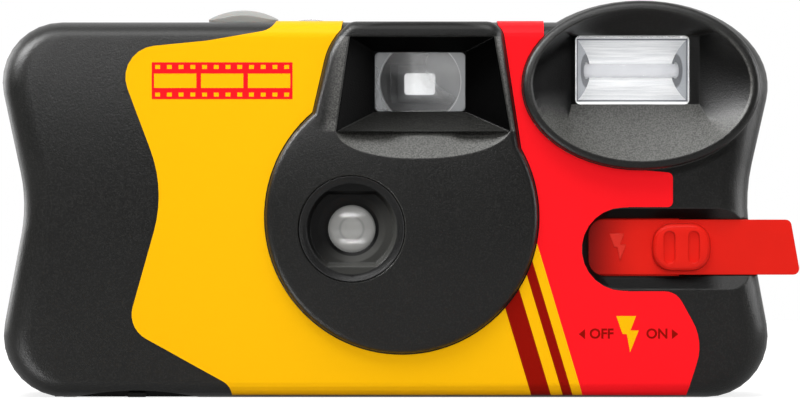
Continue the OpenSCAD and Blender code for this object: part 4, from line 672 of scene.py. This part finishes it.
def dress(node, slot):
    """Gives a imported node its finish, welded and shaded smooth across its facets."""
    thing = frame["nodes"][node]
    thing.data.materials.clear()
    thing.data.materials.append(NODE_FINISHES.get(node, MATERIALS[slot]))
    if "custom_normal" in thing.data.attributes:
        thing.data.attributes.remove(thing.data.attributes["custom_normal"])
    weld = thing.modifiers.new("weld", "WELD")
    weld.merge_threshold = WELD_MM * MM
    smooth = thing.modifiers.new("smooth", "NODES")
    smooth.node_group = LENS_SMOOTHING if node in LENS_NODES else SMOOTHING
    even = thing.modifiers.new("even", "WEIGHTED_NORMAL")
    even.keep_sharp = True


for entry in frame["record"]["subparts"]:
    dress(entry["node"], entry["material_slot"])


# Lettering and signs

LETTERING = []
FACING_FRONT = (math.radians(90), 0, 0)
INK_MM = 0.03
CAPITAL_SHARE = 0.72
LETTER_H, LETTER_BOLD = 1.5, 0.05
PRINT_Y = LABEL_FACE_Y - INK_MM / 2
SWITCH_ROW_Z = 9.7
SWITCH_WORDS = (("OFF", 32.75), ("ON", 41.2))
ARROW_LEFT_X, FLASH_SIGN_X, ARROW_RIGHT_X = 29.8, 36.7, 43.9
FLASH_BOLT = ((-1.7, 2.75), (1.3, 2.75), (0.45, 0.55), (1.7, 0.55), (0.4, -2.75), (-0.1, 0.0), (-0.75, 0.0))
ARROW = ((-0.5, 0.0), (0.45, 0.75), (0.45, -0.75))


def place_piece(piece, place, turn, body, material):
    """Sets a lettering piece in its place and on the body that carries it."""
    piece.data.materials.append(material)
    piece.location = Vector(place) * MM
    piece.rotation_euler = turn
    bpy.context.scene.collection.objects.link(piece)
    LETTERING.append(piece)
    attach(piece, body)


def add_words(name, words, place, turn, body, material, bold=0.0):
    """Plain printed lettering, centred on its place."""
    data = bpy.data.curves.new(name, "FONT")
    data.body = words
    data.align_x = "CENTER"
    data.align_y = "CENTER"
    data.size = LETTER_H / CAPITAL_SHARE * MM
    data.extrude = INK_MM / 2 * MM
    data.offset = bold * MM
    data.resolution_u = 4
    place_piece(bpy.data.objects.new(name, data), place, turn, body, material)


def add_sign(name, outlines, place, body, material, thick=INK_MM, scale=1.0):
    """Flat sign on the front, cut from outlines; an outline within another is a hole."""
    data = bpy.data.curves.new(name, "CURVE")
    data.dimensions = "2D"
    data.fill_mode = "BOTH"
    data.extrude = thick / 2 * MM
    for outline in outlines:
        line = data.splines.new("POLY")
        line.points.add(len(outline) - 1)
        line.use_cyclic_u = True
        for point, (x, z) in zip(line.points, outline):
            point.co = (x * scale * MM, z * scale * MM, 0, 1)
    place_piece(bpy.data.objects.new(name, data), place, FACING_FRONT, body, material)


def mirrored(outline):
    return [(-x, z) for x, z in outline]


def rectangle(x, z, width, height):
    return [(x + sx * width / 2, z + sz * height / 2) for sx, sz in ((-1, -1), (1, -1), (1, 1), (-1, 1))]


DARK_INK = ink("dark_ink", DARK_RED)
YELLOW_INK = ink("yellow_ink", YELLOW)
RED_INK = ink("red_ink", RED)

for word, word_x in SWITCH_WORDS:
    add_words("switch_" + word.lower(), word, (word_x, PRINT_Y, SWITCH_ROW_Z), FACING_FRONT, CAMERA_BODY,
              DARK_INK, LETTER_BOLD)
for sign, outline, sign_x, sign_ink in (
        ("switch_arrow_left", ARROW, ARROW_LEFT_X, DARK_INK),
        ("switch_arrow_right", mirrored(ARROW), ARROW_RIGHT_X, DARK_INK),
        ("flash_sign", FLASH_BOLT, FLASH_SIGN_X, YELLOW_INK)):
    add_sign(sign, [outline], (sign_x, PRINT_Y, SWITCH_ROW_Z), CAMERA_BODY, sign_ink)

# Film pictogram: a strip with its perforations and three frames
FILM_W, FILM_H = 21.4, 5.6
FILM_PLACE = (-24.9, PRINT_Y, 48.2)
PERFORATIONS, PERFORATION_W, PERFORATION_H, PERFORATION_INSET = 12, 0.75, 0.62, 0.7
FRAMES, FRAME_GAP, FRAME_H = 3, 0.7, 2.2
film_outlines = [rectangle(0, 0, FILM_W, FILM_H)]
for column in range(PERFORATIONS):
    hole_x = (column + 0.5) * FILM_W / PERFORATIONS - FILM_W / 2
    for side in (-1, 1):
        hole_z = side * (FILM_H / 2 - PERFORATION_INSET)
        film_outlines.append(rectangle(hole_x, hole_z, PERFORATION_W, PERFORATION_H))
for column in range(FRAMES):
    frame_x = (column + 0.5) * FILM_W / FRAMES - FILM_W / 2
    film_outlines.append(rectangle(frame_x, 0, FILM_W / FRAMES - FRAME_GAP, FRAME_H))
add_sign("film_sign", film_outlines, FILM_PLACE, CAMERA_BODY, RED_INK)

# Raised flash sign on the slider's strip
BOLT_RISE, BOLT_SCALE = 0.12, 0.76
BOLT_PLACE = (35.3, -14.0, SLIDER_Z)
BOLT_RED = smooth_plastic("bolt_red", colour("d22a1e"), gloss=(0.34, 0.44), spread=0.06, shine=0.3)
add_sign("slider_sign", [FLASH_BOLT], BOLT_PLACE, "flash_switch", BOLT_RED, 2 * BOLT_RISE,
         BOLT_SCALE)

# Numbers on the counter dial, one for every third picture
DIAL_NUMBERS, PICTURES_PER_NUMBER = 13, 3
NUMBER_RADIUS = 5.3
DIAL_INK = ink("dial_ink", colour("26262a"))
for step in range(DIAL_NUMBERS):
    number = PICTURES_PER_NUMBER * step
    around = math.radians(-90 + step * 360 / DIAL_NUMBERS)
    spot = DIAL + NUMBER_RADIUS * Vector((math.cos(around), math.sin(around), 0))
    spot.z = DIAL_TOP_Z + INK_MM / 2
    add_words("dial_number_%02d" % number, str(number), spot, (0, 0, around + math.radians(90)), "counter",
              DIAL_INK)


# Stage, light and view

PHOTO_WIDTH_MM = 121.6
PHOTO_MIDDLE = Vector((2.13, 0, 30.0))
PHOTO_PLANE_Y = -15.5
CAMERA_DISTANCE = 900.0
SENSOR_MM = 36.0
BACKDROP_STEP = (0.3, 0.8)


def add_camera():
    data = bpy.data.cameras.new("view")
    data.sensor_width = SENSOR_MM
    data.lens = CAMERA_DISTANCE * SENSOR_MM / PHOTO_WIDTH_MM
    data.clip_start = 0.05
    data.clip_end = 50
    seen = bpy.data.objects.new("view", data)
    seen.location = Vector((PHOTO_MIDDLE.x, PHOTO_PLANE_Y - CAMERA_DISTANCE, PHOTO_MIDDLE.z)) * MM
    seen.rotation_euler = (math.radians(90), 0, 0)
    bpy.context.scene.collection.objects.link(seen)
    bpy.context.scene.camera = seen


def add_softbox(name, place, target, size, power, lit=(), mirrored_in_gloss=True, unshaded=False):
    """Soft lamp in metres and watts; where objects are given, it lights these alone.

    An unshaded lamp reaches them from behind the rest of the scene, as a mirror card would.
    """
    data = bpy.data.lights.new(name, "AREA")
    data.shape = "RECTANGLE"
    data.size, data.size_y = size
    data.energy = power
    lamp = bpy.data.objects.new(name, data)
    lamp.location = place
    lamp.rotation_euler = (Vector(target) - Vector(place)).to_track_quat("-Z", "Y").to_euler()
    bpy.context.scene.collection.objects.link(lamp)
    lamp.visible_glossy = mirrored_in_gloss
    if lit:
        group = bpy.data.collections.new(name + "_lit")
        for thing in lit:
            group.objects.link(thing)
        lamp.light_linking.receiver_collection = group
        if unshaded:
            lamp.light_linking.blocker_collection = group
            data.cycles.use_multiple_importance_sampling = False


def add_world(front, behind):
    """Surroundings that are dim in front of the object and white behind it and for the view."""
    world = bpy.data.worlds.new("studio")
    world.use_nodes = True
    tree = world.node_tree
    _, depth, _ = object_coords(tree, "Generated")
    glow = depth.beyond(*BACKDROP_STEP).to(front, behind)
    rays = tree.nodes.new("ShaderNodeLightPath")
    seen = glow.at_least(Field(tree, rays.outputs["Is Camera Ray"]))
    backdrop = tree.nodes["Background"]
    tree.links.new(seen.socket, backdrop.inputs["Strength"])
    backdrop.inputs["Color"].default_value = (*WHITE, 1)
    bpy.context.scene.world = world


def add_floor(half, glow, mirrored_glow):
    """Pale floor that glows a little, so that it stays white far from the lamps."""
    data = bpy.data.meshes.new("floor")
    corners = [(-half, -half, 0), (half, -half, 0), (half, half, 0), (-half, half, 0)]
    data.from_pydata(corners, [], [(0, 1, 2, 3)])
    made, tree, shader = new_material("floor")
    grain = noise(tree, grain_mm=40)
    tree.links.new(mix(tree, grain, shade(WHITE, 0.4), shade(WHITE, 0.42)), shader.inputs["Base Color"])
    set_sockets(shader, Roughness=0.8, Specular_IOR_Level=0.1, Emission_Color=(*WHITE, 1))
    rays = tree.nodes.new("ShaderNodeLightPath")
    seen = Field(tree, rays.outputs["Is Camera Ray"]) * glow
    mirrored_in = Field(tree, rays.outputs["Is Glossy Ray"]) * mirrored_glow
    tree.links.new((seen + mirrored_in).socket, shader.inputs["Emission Strength"])
    data.materials.append(made)
    floor = bpy.data.objects.new("floor", data)
    bpy.context.scene.collection.objects.link(floor)


def nodes(*names):
    return [frame["nodes"][name] for name in names]


add_camera()
add_world(front=0.12, behind=1.0)
add_floor(half=0.55, glow=0.8, mirrored_glow=0.24)

SHELL = nodes(*(e["node"] for e in frame["record"]["subparts"] if e["material_slot"] == "black_shell"))
TUNNEL = nodes("viewfinder_front_lens", "viewfinder_rear_lens", "main_frame")
REST = [thing for thing in frame["nodes"].values() if thing not in SHELL + TUNNEL] + LETTERING
BODY_MIDDLE, BODY_LEFT, BODY_RIGHT = (0, 0, 0.03), (-0.05, 0, 0.03), (0.05, 0, 0.03)
LENS_TARGET = (0, 0, 0.026)

add_softbox("key", (-0.06, -0.6, 0.36), BODY_MIDDLE, size=(0.34, 0.1), power=0.5)
add_softbox("top", (-0.08, -0.2, 0.6), (0, -0.01, 0.03), size=(0.6, 0.45), power=4.4)
add_softbox("sheen", (-0.17, -0.8, 0.45), BODY_MIDDLE, size=(0.15, 0.15), power=1.5, lit=SHELL)
add_softbox("left", (-0.43, -0.16, 0.46), (-0.05, 0, 0.05), size=(0.24, 0.24), power=5.8,
            lit=nodes("front_cover", "lens_retainer"))
add_softbox("left_card", (-0.37, -0.34, -0.35), (-0.05, 0, 0.01), size=(0.2, 0.2), power=1.5,
            lit=nodes("front_cover"), unshaded=True)
add_softbox("left_rim", (-0.4, 0.3, 0.1), BODY_LEFT, size=(0.3, 0.45), power=1.4, lit=SHELL)
add_softbox("right", (0.48, -0.04, 0.13), BODY_RIGHT, size=(0.3, 0.45), power=3.5, lit=SHELL)
add_softbox("fill", (0.1, -0.8, 0.1), BODY_MIDDLE, size=(0.3, 0.3), power=3.5, lit=REST,
            mirrored_in_gloss=False)
add_softbox("flash_fill", (0.04, -0.6, 0.12), (0.038, 0, 0.05), size=(0.4, 0.3), power=2.6,
            lit=nodes("flash_reflector", "flash_tube"), mirrored_in_gloss=False)
add_softbox("finder_fill", (0.1, -0.8, 0.1), (0, 0, 0.05), size=(0.3, 0.3), power=1.0,
            lit=nodes("viewfinder_front_lens"), mirrored_in_gloss=False)
add_softbox("lens_card", (0.0, -0.6, -0.3), LENS_TARGET, size=(0.7, 0.1), power=1.2,
            lit=nodes("taking_lens"), unshaded=True)
add_softbox("lens_sky", (0.0, -0.6, 0.38), LENS_TARGET, size=(0.65, 0.1), power=0.9,
            lit=nodes("taking_lens"), unshaded=True)
bpy.context.scene.view_settings.view_transform = "Standard"
